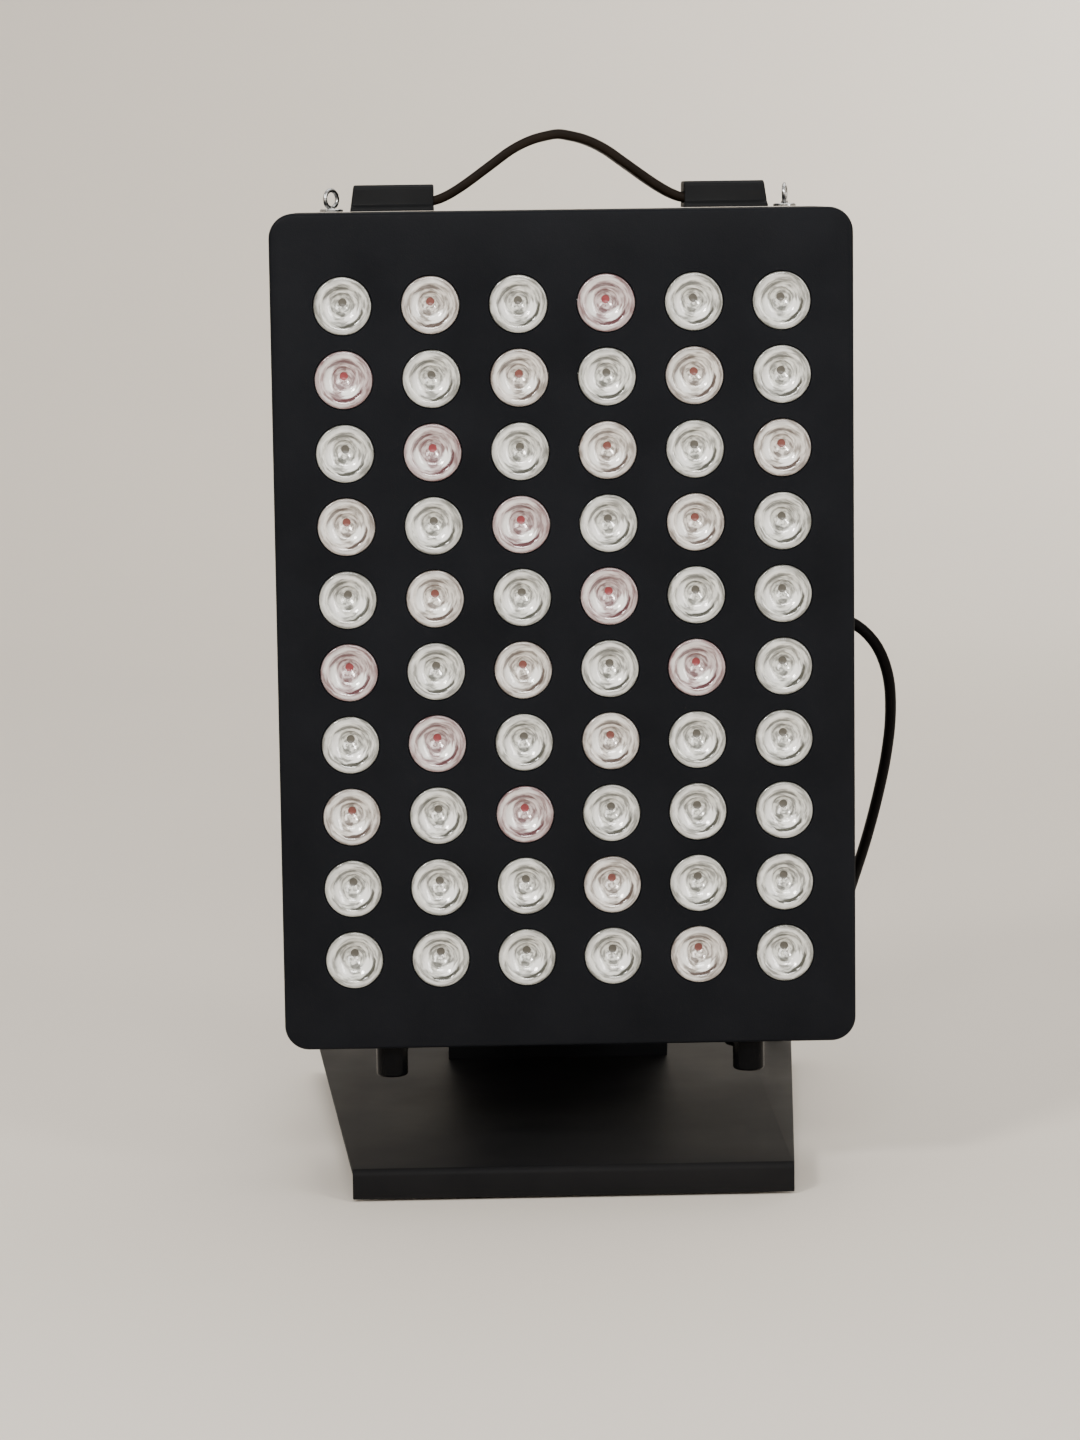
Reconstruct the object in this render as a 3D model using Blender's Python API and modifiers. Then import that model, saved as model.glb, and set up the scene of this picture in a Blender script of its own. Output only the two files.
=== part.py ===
# Red light therapy panel that tilts on a folded steel desk stand.
# Metres, +Z up, front towards -Y. The origin is on the table, under the middle of the base.

import math

import bmesh
import bpy
from mathutils import Matrix, Vector

# Clearance between pieces that touch, and how far cutters run past what they cut
GAP = 0.0003
OVERRUN = 0.001
SINK = 0.0004
MERGE = 0.00001
ROUND_SIDES = 16
CORNER_SEGMENTS = 4

# Housing: front shell and rear cover
PANEL_WIDTH = 0.210
PANEL_HEIGHT = 0.305
PANEL_DEPTH = 0.064
PANEL_CORNER_RADIUS = 0.009
SHELL_SHEET = 0.0015
SHELL_FOLD_RADIUS = 0.0012
COVER_SHEET = 0.0015
COVER_FLANGE = 0.009
VENT_WIDTH = 0.004
VENT_LENGTH = 0.030
VENT_COUNT = 6
VENT_MARGIN = 0.00925
VENT_Z = 0.060

# Lenses, in rows joined by a thin link behind the face
LENS_COLUMNS = 6
LENS_ROWS = 10
LENS_MARGIN_X = 0.026
LENS_MARGIN_Z = 0.03325
LENS_WEB = 0.0058
LENS_RIM = 0.00335
LENS_DISH_DEPTH = 0.0013
LENS_FLANGE = 0.0042
LENS_TAIL_SHARE = 0.4155
LENS_LENGTH = 0.0115
LENS_PROUD = 0.0003
LENS_SIDES = 10
LINK_WIDTH = 0.004
LINK_THICKNESS = 0.0012

# Light board, heat sink, standoffs and drivers
BOARD_MARGIN = 0.013
BOARD_THICKNESS = 0.0016
EMITTER_SIZE = 0.0036
EMITTER_HEIGHT = 0.0009
HEAT_SINK_BASE = 0.003
FIN_HEIGHT = 0.016
FIN_THICKNESS = 0.0016
FIN_COUNT = 12
STANDOFF_DIAMETER = 0.006
STANDOFF_SIDES = 6
DRIVER_WIDTH = 0.038
DRIVER_DEPTH = 0.022
DRIVER_CORNER = 0.003
DRIVER_FOOT_Z = 0.015
DRIVER_TOP_MARGIN = 0.0275

# Fans
FAN_SIZE = 0.080
FAN_DEPTH = 0.015
FAN_SHARE = 0.6033
FAN_WALL = 0.002
FAN_CORNER = 0.006
FAN_TIP_GAP = 0.0015
FAN_HUB_DIAMETER = 0.030
FAN_SPIDER_DEPTH = 0.002
FAN_ARM_WIDTH = 0.004
FAN_MOUTH_DEPTH = 0.001
BLADE_COUNT = 7
BLADE_THICKNESS = 0.0014
BLADE_CHORD = 0.0125
BLADE_PITCH = math.radians(38)
FAN_SIDES = 24
GRILLE_THICKNESS = 0.0014
GRILLE_MARGIN = 0.004
GRILLE_RING = 0.0024
GRILLE_HUB_DIAMETER = 0.020
GRILLE_RINGS = 3
GRILLE_SPOKES = 4
GRILLE_ARC_STEPS = 3

# Carrying handle
HANDLE_INSET = 0.029
CAP_LENGTH = 0.0305
CAP_WIDTH = 0.025
CAP_HEIGHT = 0.0095
CAP_SKIRT_HEIGHT = 0.0025
CAP_SKIRT_STEP = 0.0020
CAP_ROUND = 0.0014
CAP_SLANT = 0.0014
STRAP_WIDTH = 0.020
STRAP_THICKNESS = 0.0034
STRAP_EXIT_HEIGHT = 0.0036
STRAP_RISE = 0.0235
STRAP_TUCK = 0.010
# Height of the strap at tenths of its half span, as shares of its rise
STRAP_RISE_SHARES = (1.0, 0.97, 0.92, 0.84, 0.73, 0.59, 0.45, 0.31, 0.18, 0.07)

# Hanging eyes
EYE_INSET = 0.022
EYE_RING_DIAMETER = 0.0064
EYE_WIRE_DIAMETER = 0.0016
EYE_COLLAR_DIAMETER = 0.0085
EYE_COLLAR_HEIGHT = 0.001
EYE_STEM_DIAMETER = 0.0026
EYE_STEPS = 14
EYE_LEFT_TURN = math.radians(48)
EYE_RIGHT_TURN = math.radians(80)

# Rubber feet under the housing
FOOT_DIAMETER = 0.0116
FOOT_HEIGHT = 0.0115
FOOT_CHAMFER = 0.0006
FOOT_SIDE_INSET = 0.039
FOOT_INSET = 0.010

# Power inlet and the plug in it
INLET_INSET = 0.038
INLET_RIM_WIDTH = 0.030
INLET_RIM_HEIGHT = 0.021
INLET_RIM_DEPTH = 0.002
INLET_BODY_WIDTH = 0.024
INLET_BODY_HEIGHT = 0.0165
INLET_BODY_DEPTH = 0.016
INLET_SOCKET_WIDTH = 0.0175
INLET_SOCKET_HEIGHT = 0.0095
INLET_SOCKET_DEPTH = 0.0125
PIN_DIAMETER = 0.0024
PIN_LENGTH = 0.009
PIN_SPACING = 0.0086
PLUG_WIDTH = 0.020
PLUG_HEIGHT = 0.0125
PLUG_BACK = 0.0065
PLUG_CORNER = 0.0025
RELIEF_LENGTH = 0.020
RELIEF_ROOT_DIAMETER = 0.0095
RELIEF_TIP_DIAMETER = 0.0062

# Rocker switches: one for the red rows, one for the near infrared rows
SWITCH_INSET = 0.030
SWITCH_FIRST_Z = -0.048
SWITCH_PITCH = 0.030
BEZEL_WIDTH = 0.015
BEZEL_HEIGHT = 0.021
BEZEL_RIM_DEPTH = 0.0015
SWITCH_BODY_WIDTH = 0.0132
SWITCH_BODY_HEIGHT = 0.0192
SWITCH_BODY_DEPTH = 0.014
SWITCH_WELL_DEPTH = 0.010
ROCKER_WIDTH = 0.0104
ROCKER_LENGTH = 0.0150
ROCKER_CROWN = 0.0020
ROCKER_PIVOT_DEPTH = 0.0030
ROCKER_TILT = math.radians(10)

# Tilt bracket, bolt and knob
HINGE_SETBACK = 0.022
HINGE_DROP = 0.004
EAR_RADIUS = 0.010
BRACKET_SHEET = 0.0025
BRACKET_WEB_HEIGHT = 0.056
BRACKET_EAR_ROOT = 0.032
BRACKET_SCREW_SPACING = 0.038
SIDE_CLEARANCE = 0.0004
BOLT_DIAMETER = 0.006
BOLT_HEAD_DIAMETER = 0.012
BOLT_HEAD_HEIGHT = 0.0045
BOLT_REACH = 0.012
KNOB_DIAMETER = 0.028
KNOB_LOBE = 0.0015
KNOB_LOBES = 6
KNOB_POINTS = 36
KNOB_DEPTH = 0.011
KNOB_HUB_DIAMETER = 0.014
KNOB_HUB_DEPTH = 0.004

# Base, neck and pads
BASE_FRONT_WIDTH = 0.162
BASE_REAR_WIDTH = 0.1994
BASE_DEPTH = 0.230
REAR_LIP_WIDTH = 0.160
BASE_HEIGHT = 0.012
BASE_SHEET = 0.002
BASE_FOLD_RADIUS = 0.0025
PANEL_SETBACK = 0.012
PANEL_LIFT = 0.0425
NECK_WIDTH = 0.090
NECK_SHEET = 0.0025
NECK_REAR_MARGIN = 0.0175
NECK_NOTCH = 0.022
PAD_DIAMETER = 0.014
PAD_DROP = 0.001
PAD_SIDES = 12
PAD_INSET = 0.014

# Pan head screws
SCREW_HEAD_DIAMETER = 0.0075
SCREW_HEAD_HEIGHT = 0.0025
SCREW_DIAMETER = 0.004
SCREW_REACH = 0.003
SCREW_SIDES = 10
FOOT_SCREW_SPACING = 0.050

# Mains lead: its free stretch, its coil and its tail to the mains plug
CORD_DIAMETER = 0.0044
CORD_POINT_SPACING = 0.0125
# Across from the panel's side, back from the hinge, and height as a share of the hinge's
CORD_HANG_ROUTE = (
    (-0.0076, 0.0000, 1.0000),
    (-0.0028, 0.0000, 1.0000),
    (0.0030, 0.0000, 0.9961),
    (0.0092, 0.0000, 0.9818),
    (0.0140, 0.0002, 0.9616),
    (0.0176, 0.0012, 0.9379),
    (0.0205, 0.0034, 0.9074),
    (0.0230, 0.0082, 0.8621),
    (0.0243, 0.0175, 0.7882),
    (0.0238, 0.0295, 0.7069),
    (0.0221, 0.0425, 0.6246),
    (0.0195, 0.0565, 0.5369),
    (0.0162, 0.0735, 0.4443),
    (0.0110, 0.0975, 0.3153),
    (0.0030, 0.1215, 0.1847),
    (-0.0095, 0.1365, 0.0828),
)
# Across, back from the base's rear edge, and height
CORD_FLOOR_ROUTE = (
    (0.0775, 0.0073, 0.0062),
    (0.0560, 0.0067, 0.0034),
    (0.0300, 0.0064, 0.0033),
    (0.0045, 0.0064, 0.0033),
)
CORD_TAIL_ROUTE = (
    (0.0047, 0.0746, 0.0082),
    (0.0100, 0.0751, 0.0081),
    (0.0184, 0.0780, 0.0075),
    (0.0289, 0.0874, 0.0054),
    (0.0395, 0.0967, 0.0033),
    (0.0532, 0.1001, 0.0026),
    (0.0631, 0.0974, 0.0028),
    (0.0703, 0.0902, 0.0042),
    (0.0730, 0.0803, 0.0064),
    (0.0730, 0.0763, 0.0070),
)
COIL_SETBACK = 0.0405
COIL_INNER_RADIUS = 0.0180
COIL_STEP = 0.0049
COIL_TURNS = 6.5
COIL_POINTS = 24
TIE_WIDTH = 0.006
TIE_THICKNESS = 0.0008
TIE_SLACK = 0.0007

# Mains plug with two flat blades
MAINS_PLUG_WIDTH = 0.022
MAINS_PLUG_HEIGHT = 0.014
MAINS_PLUG_LENGTH = 0.026
MAINS_PLUG_CORNER = 0.003
MAINS_RELIEF_LENGTH = 0.020
BLADE_PAIR_SPACING = 0.0127
BLADE_PAIR_LENGTH = 0.016
BLADE_PAIR_WIDTH = 0.0062
BLADE_PAIR_THICKNESS = 0.0015

# Places that follow from the sizes above
LENS_PITCH_X = (PANEL_WIDTH - 2 * LENS_MARGIN_X) / (LENS_COLUMNS - 1)
LENS_PITCH_Z = (PANEL_HEIGHT - 2 * LENS_MARGIN_Z) / (LENS_ROWS - 1)
LENS_DIAMETER = LENS_PITCH_Z - LENS_WEB
LENS_DISH_DIAMETER = LENS_DIAMETER - 2 * LENS_RIM
LENS_TAIL_DIAMETER = LENS_DIAMETER * LENS_TAIL_SHARE
FAN_SPACING = PANEL_HEIGHT * FAN_SHARE
DRIVER_X = (FAN_SIZE / 2 + PANEL_WIDTH / 2 - SHELL_SHEET) / 2
DRIVER_LENGTH = PANEL_HEIGHT / 2 - DRIVER_TOP_MARGIN - DRIVER_FOOT_Z
DRIVER_Z = DRIVER_FOOT_Z + DRIVER_LENGTH / 2
VENT_X = DRIVER_X
VENT_PITCH = (PANEL_WIDTH / 2 - SHELL_SHEET - FAN_SIZE / 2 - 2 * VENT_MARGIN) / (VENT_COUNT - 1)
HANDLE_LENGTH = PANEL_WIDTH - 2 * HANDLE_INSET
FOOT_SPACING = PANEL_WIDTH - 2 * FOOT_SIDE_INSET
INLET_X = PANEL_WIDTH / 2 - INLET_INSET
SWITCH_X = PANEL_WIDTH / 2 - SWITCH_INSET
BASE_FRONT_Y = -BASE_DEPTH / 2
BASE_REAR_Y = BASE_DEPTH / 2
PANEL_FACE_Y = BASE_FRONT_Y + PANEL_SETBACK
PANEL_CENTRE_Z = BASE_HEIGHT + PANEL_LIFT + PANEL_HEIGHT / 2
SHELL_DEPTH = PANEL_DEPTH - COVER_SHEET - GAP
COVER_INSIDE = PANEL_DEPTH - COVER_SHEET
COVER_OUTSIDE = PANEL_DEPTH + GAP
BOARD_FRONT = LENS_LENGTH - LENS_PROUD + GAP + EMITTER_HEIGHT
HINGE = Vector((0, PANEL_FACE_Y + PANEL_DEPTH + HINGE_SETBACK, PANEL_CENTRE_Z - HINGE_DROP))
COIL_CENTRE = (0, BASE_REAR_Y + COIL_SETBACK)
CORD_FLOOR = TIE_THICKNESS + GAP + CORD_DIAMETER / 2
COIL_OUTER_RADIUS = COIL_INNER_RADIUS + COIL_STEP * COIL_TURNS / 2


def panel_at(x, depth, z):
    """A place on the panel: across from its middle, back from its face, up from its middle."""
    return Vector((x, PANEL_FACE_Y + depth, PANEL_CENTRE_Z + z))


def lens_places():
    """Middles of the lens positions, row by row from the top."""
    places = []
    for row in range(LENS_ROWS):
        z = ((LENS_ROWS - 1) / 2 - row) * LENS_PITCH_Z
        for column in range(LENS_COLUMNS):
            places.append(((column - (LENS_COLUMNS - 1) / 2) * LENS_PITCH_X, z))
    return places


# Scene, collections and finishes

for old in list(bpy.data.objects):
    bpy.data.objects.remove(old)

parts = bpy.data.collections.new("red_light_panel")
cutters = bpy.data.collections.new("cutters")
bpy.context.scene.collection.children.link(parts)
bpy.context.scene.collection.children.link(cutters)


def finish(name, colour, roughness, metallic=0.0):
    """A Principled material in one colour."""
    new = bpy.data.materials.new(name)
    new.use_nodes = True
    shader = new.node_tree.nodes["Principled BSDF"]
    shader.inputs["Base Color"].default_value = (*colour, 1)
    shader.inputs["Roughness"].default_value = roughness
    shader.inputs["Metallic"].default_value = metallic
    return new


powder_black = finish("powder_black", (0.012, 0.013, 0.016), 0.42)
base_black = finish("base_black", (0.014, 0.014, 0.016), 0.28)
clear_lens = finish("clear_lens", (0.78, 0.79, 0.76), 0.08)
board_white = finish("board_white", (0.75, 0.75, 0.72), 0.5)
bare_aluminium = finish("bare_aluminium", (0.60, 0.61, 0.62), 0.35, 1.0)
plain_steel = finish("plain_steel", (0.50, 0.50, 0.51), 0.3, 1.0)
chrome = finish("chrome", (0.80, 0.80, 0.80), 0.08, 1.0)
black_plastic = finish("black_plastic", (0.015, 0.015, 0.016), 0.35)
gloss_rubber = finish("gloss_rubber", (0.010, 0.010, 0.011), 0.2)
strap_rubber = finish("strap_rubber", (0.030, 0.026, 0.022), 0.5)
cord_sheath = finish("cord_sheath", (0.012, 0.011, 0.012), 0.4)
driver_case = finish("driver_case", (0.70, 0.71, 0.72), 0.45)


def add_empty(name, place, parent=None):
    """An empty on a joint's axis."""
    marker = bpy.data.objects.new(name, None)
    parts.objects.link(marker)
    marker.parent = parent
    marker.location = place - parent.location if parent else place
    return marker


tilt_axis = add_empty("tilt_axis", HINGE)


# Shapes


def mesh_from(bm, name):
    """Close a bmesh into a mesh shaded smooth, with its corners kept sharp."""
    mesh = bpy.data.meshes.new(name)
    bm.to_mesh(mesh)
    bm.free()
    mesh.shade_smooth()
    mesh.set_sharp_from_angle(angle=math.radians(35))
    return mesh


def block(name, size, corner=0, axis=1, segments=CORNER_SEGMENTS):
    """A box whose edges along one axis are rounded."""
    bm = bmesh.new()
    bmesh.ops.create_cube(bm, size=1, matrix=Matrix.Diagonal((*size, 1)))
    if corner:
        along = []
        for edge in bm.edges:
            run = edge.verts[1].co - edge.verts[0].co
            if abs(run[axis]) > run.length / 2:
                along.append(edge)
        bmesh.ops.bevel(bm, geom=along, offset=corner, segments=segments, affect="EDGES", profile=0.5)
    return mesh_from(bm, name)


TURNS = {
    "X": Matrix.Rotation(math.pi / 2, 4, "Y"),
    "Y": Matrix.Rotation(-math.pi / 2, 4, "X"),
    "Z": Matrix.Identity(4),
}


def rod(name, diameter, length, axis, sides=ROUND_SIDES, tip_diameter=None):
    """A cylinder or cone about its middle, with a flat facing sideways."""
    bm = bmesh.new()
    far = diameter if tip_diameter is None else tip_diameter
    turn = TURNS[axis] @ Matrix.Rotation(math.pi / sides - math.pi / 2, 4, "Z")
    bmesh.ops.create_cone(bm, cap_ends=True, segments=sides, radius1=diameter / 2, radius2=far / 2,
                          depth=length, matrix=turn)
    return mesh_from(bm, name)


def gather(name, placed):
    """One mesh from several, each moved by its matrix."""
    bm = bmesh.new()
    for mesh, matrix in placed:
        start = len(bm.verts)
        bm.from_mesh(mesh)
        bm.verts.ensure_lookup_table()
        bmesh.ops.transform(bm, matrix=matrix, verts=bm.verts[start:])
    return mesh_from(bm, name)


def baked(thing):
    """The evaluated mesh of an object, turned as the object is, which is then removed."""
    bpy.context.view_layer.update()
    view = thing.evaluated_get(bpy.context.evaluated_depsgraph_get())
    mesh = bpy.data.meshes.new_from_object(view)
    mesh.transform(thing.matrix_world)
    bpy.data.objects.remove(thing)
    return mesh


PLANES = {
    "XY": Matrix.Identity(4),
    "XZ": Matrix(((1, 0, 0, 0), (0, 0, -1, 0), (0, 1, 0, 0), (0, 0, 0, 1))),
    "YZ": Matrix(((0, 0, 1, 0), (1, 0, 0, 0), (0, 1, 0, 0), (0, 0, 0, 1))),
}


def outline(name, loops, thickness, plane):
    """A flat outline, with any holes, given a thickness about its plane."""
    curve = bpy.data.curves.new(name, "CURVE")
    curve.dimensions = "2D"
    curve.fill_mode = "BOTH"
    curve.extrude = thickness / 2
    for loop in loops:
        spline = curve.splines.new("POLY")
        spline.points.add(len(loop) - 1)
        for point, (across, up) in zip(spline.points, loop):
            point.co = (across, up, 0, 1)
        spline.use_cyclic_u = True
    thing = bpy.data.objects.new(name, curve)
    parts.objects.link(thing)
    mesh = baked(thing)
    bpy.data.curves.remove(curve)
    bm = bmesh.new()
    bm.from_mesh(mesh)
    bpy.data.meshes.remove(mesh)
    bmesh.ops.remove_doubles(bm, verts=bm.verts, dist=MERGE)
    bmesh.ops.transform(bm, matrix=PLANES[plane], verts=bm.verts)
    bmesh.ops.recalc_face_normals(bm, faces=bm.faces)
    return mesh_from(bm, name)


def arc(centre, radius, start, end, steps):
    """Points along an arc."""
    points = []
    for step in range(steps + 1):
        angle = start + (end - start) * step / steps
        points.append((centre[0] + radius * math.cos(angle), centre[1] + radius * math.sin(angle)))
    return points


def rounded_rectangle(width, height, radius, steps=CORNER_SEGMENTS):
    """Outline of a rectangle with round corners."""
    points = []
    for number, (side_x, side_y) in enumerate(((1, 1), (-1, 1), (-1, -1), (1, -1))):
        centre = (side_x * (width / 2 - radius), side_y * (height / 2 - radius))
        points += arc(centre, radius, number * math.pi / 2, (number + 1) * math.pi / 2, steps)
    return points


def turned_mesh(name, profile, axis, sides=ROUND_SIDES):
    """A profile, given as radius and height from its top, turned about an axis."""
    bm = bmesh.new()
    verts = [bm.verts.new((radius, 0, height)) for radius, height in profile]
    for first, second in zip(verts, verts[1:]):
        bm.edges.new((first, second))
    thing = bpy.data.objects.new(name, mesh_from(bm, name))
    parts.objects.link(thing)
    screw = thing.modifiers.new("turn", "SCREW")
    screw.steps = sides
    screw.render_steps = sides
    screw.use_merge_vertices = True
    screw.merge_threshold = MERGE
    thing.matrix_world = TURNS[axis] @ Matrix.Rotation(math.pi / sides, 4, "Z")
    mesh = baked(thing)
    mesh.shade_smooth()
    mesh.set_sharp_from_angle(angle=math.radians(35))
    return mesh


def add_part(name, mesh, place, material, parent=tilt_axis):
    """A named piece of the panel, or of the stand when it has no parent."""
    if not mesh.materials:
        mesh.materials.append(material)
    thing = bpy.data.objects.new(name, mesh)
    parts.objects.link(thing)
    thing.parent = parent
    thing.location = Vector(place) - (parent.location if parent else Vector())
    return thing


def combine(thing, operation, mesh, place, label):
    """Cut a piece by a mesh, or join the mesh to it, in the frame of the piece's parent."""
    tool = bpy.data.objects.new(f"{thing.name}_{label}", mesh)
    cutters.objects.link(tool)
    tool.hide_render = True
    tool.display_type = "WIRE"
    tool.parent = thing.parent
    tool.location = Vector(place) - (thing.parent.location if thing.parent else Vector())
    change = thing.modifiers.new(label, "BOOLEAN")
    change.operation = operation
    change.object = tool
    change.solver = "EXACT"
    return thing


def shift(x=0, y=0, z=0):
    """A matrix that only moves."""
    return Matrix.Translation((x, y, z))


# Housing


def make_front_shell():
    """Face and folded sides in one sheet, open at the back."""
    bm = bmesh.new()
    bm.from_mesh(block("front_shell", (PANEL_WIDTH, SHELL_DEPTH, PANEL_HEIGHT), PANEL_CORNER_RADIUS))
    face_edges = []
    for edge in bm.edges:
        if all(vert.co.y < 0 and len(vert.link_faces) > 1 for vert in edge.verts):
            face_edges.append(edge)
    bmesh.ops.bevel(bm, geom=face_edges, offset=SHELL_FOLD_RADIUS, segments=2, affect="EDGES", profile=0.5)
    drawn = mesh_from(bm, "front_shell")
    shell = add_part("front_shell", drawn, panel_at(0, SHELL_DEPTH / 2, 0), powder_black)
    inside = block("cavity", (PANEL_WIDTH - 2 * SHELL_SHEET, SHELL_DEPTH, PANEL_HEIGHT - 2 * SHELL_SHEET),
                   PANEL_CORNER_RADIUS - SHELL_SHEET)
    combine(shell, "DIFFERENCE", inside, panel_at(0, SHELL_SHEET + SHELL_DEPTH / 2, 0), "cavity")
    hole = rod("lens_hole", LENS_DIAMETER + 2 * GAP, SHELL_SHEET + 2 * OVERRUN, "Y", LENS_SIDES)
    holes = gather("lens_holes", [(hole, shift(x, 0, z)) for x, z in lens_places()])
    combine(shell, "DIFFERENCE", holes, panel_at(0, SHELL_SHEET / 2, 0), "lens_holes")


def cover_openings():
    """Everything that passes through the rear cover."""
    through = COVER_SHEET + 2 * OVERRUN
    fan = rod("fan_hole", FAN_SIZE - 2 * FAN_WALL, through, "Y", FAN_SIDES)
    inlet = block("inlet_hole", (INLET_BODY_WIDTH + 2 * GAP, through, INLET_BODY_HEIGHT + 2 * GAP))
    switch = block("switch_hole", (SWITCH_BODY_WIDTH + 2 * GAP, through, SWITCH_BODY_HEIGHT + 2 * GAP))
    screw = rod("screw_hole", SCREW_DIAMETER + 2 * GAP, through, "Y", SCREW_SIDES)
    vent = block("vent", (VENT_WIDTH, through, VENT_LENGTH))
    placed = []
    for side in (1, -1):
        placed.append((fan, shift(0, 0, side * FAN_SPACING / 2)))
        placed.append((screw, shift(0, 0, side * BRACKET_SCREW_SPACING / 2 - HINGE_DROP)))
    placed.append((inlet, shift(INLET_X, 0, -HINGE_DROP)))
    for number in range(2):
        placed.append((switch, shift(SWITCH_X, 0, SWITCH_FIRST_Z - number * SWITCH_PITCH)))
    for number in range(VENT_COUNT):
        x = -VENT_X + (number - (VENT_COUNT - 1) / 2) * VENT_PITCH
        placed.append((vent, shift(x, 0, -VENT_Z)))
    return gather("cover_openings", placed)


def make_rear_cover():
    """Back plate with a flange that goes inside the shell."""
    plate = block("rear_cover", (PANEL_WIDTH, COVER_SHEET, PANEL_HEIGHT), PANEL_CORNER_RADIUS)
    cover = add_part("rear_cover", plate, panel_at(0, COVER_INSIDE + COVER_SHEET / 2, 0), powder_black)
    step = SHELL_SHEET + GAP
    loops = []
    for inset in (step, step + COVER_SHEET):
        loops.append(rounded_rectangle(PANEL_WIDTH - 2 * inset, PANEL_HEIGHT - 2 * inset,
                                       PANEL_CORNER_RADIUS - inset))
    reach = COVER_FLANGE + COVER_SHEET / 2
    flange = outline("flange", loops, reach, "XZ")
    middle = COVER_INSIDE + COVER_SHEET / 2 - reach / 2
    combine(cover, "UNION", flange, panel_at(0, middle, 0), "flange")
    combine(cover, "DIFFERENCE", cover_openings(), panel_at(0, COVER_INSIDE + COVER_SHEET / 2, 0), "openings")


# Lenses and what stands behind them


def make_lens_rows():
    """Rows of lenses: a dished front in a flat rim, and a cone down to the emitter."""
    front = LENS_LENGTH / 2
    profile = (
        (0, -LENS_DISH_DEPTH),
        (LENS_DISH_DIAMETER / 2, 0),
        (LENS_DIAMETER / 2, 0),
        (LENS_DIAMETER / 2, -LENS_FLANGE),
        (LENS_TAIL_DIAMETER / 2, -LENS_LENGTH),
        (0, -LENS_LENGTH),
    )
    centred = [(radius, height + front) for radius, height in profile]
    lens = turned_mesh("lens", centred, "Y", LENS_SIDES)
    lens.transform(Matrix.Rotation(math.pi, 4, "Z"))
    placed = []
    for x, _ in lens_places()[:LENS_COLUMNS]:
        placed.append((lens, shift(x)))
    lenses = gather("lenses", placed)
    link_length = (LENS_COLUMNS - 1) * LENS_PITCH_X
    link = block("link", (link_length, LINK_THICKNESS, LINK_WIDTH))
    link_depth = LENS_PROUD + SHELL_SHEET + GAP + LINK_THICKNESS / 2 - front
    row = bpy.data.objects.new("row", link)
    parts.objects.link(row)
    link.transform(shift(y=link_depth))
    combine(row, "UNION", lenses, (0, 0, 0), "lenses")
    mesh = baked(row)
    mesh.name = "lens_row"
    mesh.shade_smooth()
    mesh.set_sharp_from_angle(angle=math.radians(35))
    bpy.data.objects.remove(bpy.data.objects["row_lenses"])
    for row_number in range(LENS_ROWS):
        z = lens_places()[row_number * LENS_COLUMNS][1]
        add_part(f"lens_row_{row_number + 1}", mesh, panel_at(0, front - LENS_PROUD, z), clear_lens)


def board_size():
    """Width and height of the light board, which the heat sink shares."""
    width = (LENS_COLUMNS - 1) * LENS_PITCH_X + 2 * BOARD_MARGIN
    height = (LENS_ROWS - 1) * LENS_PITCH_Z + 2 * BOARD_MARGIN
    return width, height


def make_led_board():
    """Light board with an emitter behind each lens."""
    width, height = board_size()
    plate = block("led_board", (width, BOARD_THICKNESS, height))
    board = add_part("led_board", plate, panel_at(0, BOARD_FRONT + BOARD_THICKNESS / 2, 0), board_white)
    chip = block("chip", (EMITTER_SIZE, EMITTER_HEIGHT + SINK, EMITTER_SIZE))
    chips = gather("chips", [(chip, shift(x, 0, z)) for x, z in lens_places()])
    chip_depth = BOARD_FRONT - (EMITTER_HEIGHT - SINK) / 2
    combine(board, "UNION", chips, panel_at(0, chip_depth, 0), "chips")


def make_heat_sink():
    """Extruded comb behind the light board."""
    width, height = board_size()
    pitch = (width - FIN_THICKNESS) / (FIN_COUNT - 1)
    points = [(-width / 2, 0), (width / 2, 0)]
    for number in reversed(range(FIN_COUNT)):
        left = -width / 2 + number * pitch
        points.append((left + FIN_THICKNESS, HEAT_SINK_BASE + FIN_HEIGHT))
        points.append((left, HEAT_SINK_BASE + FIN_HEIGHT))
        if number:
            points.append((left, HEAT_SINK_BASE))
            points.append((left - pitch + FIN_THICKNESS, HEAT_SINK_BASE))
    comb = outline("heat_sink", [points], height, "XY")
    add_part("heat_sink", comb, panel_at(0, BOARD_FRONT + BOARD_THICKNESS + GAP, 0), bare_aluminium)


def make_standoffs():
    """Hexagonal pillars between the face and the light board, among the lenses."""
    length = BOARD_FRONT - SHELL_SHEET - 2 * GAP
    post = rod("standoff", STANDOFF_DIAMETER, length, "Y", STANDOFF_SIDES)
    x = LENS_PITCH_X * (LENS_COLUMNS - 2) / 2
    z = LENS_PITCH_Z * (LENS_ROWS - 2) / 2
    corners = {"upper_left": (-x, z), "upper_right": (x, z), "lower_left": (-x, -z), "lower_right": (x, -z)}
    for corner, (across, up) in corners.items():
        place = panel_at(across, SHELL_SHEET + GAP + length / 2, up)
        add_part(f"standoff_{corner}", post, place, plain_steel)


def make_drivers():
    """Two drivers on the rear cover, beside the upper fan."""
    case = block("driver", (DRIVER_WIDTH, DRIVER_DEPTH, DRIVER_LENGTH), DRIVER_CORNER, segments=2)
    for side, sign in (("left", -1), ("right", 1)):
        place = panel_at(sign * DRIVER_X, COVER_INSIDE - GAP - DRIVER_DEPTH / 2, DRIVER_Z)
        add_part(f"driver_{side}", case, place, driver_case)


# Fans


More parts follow.
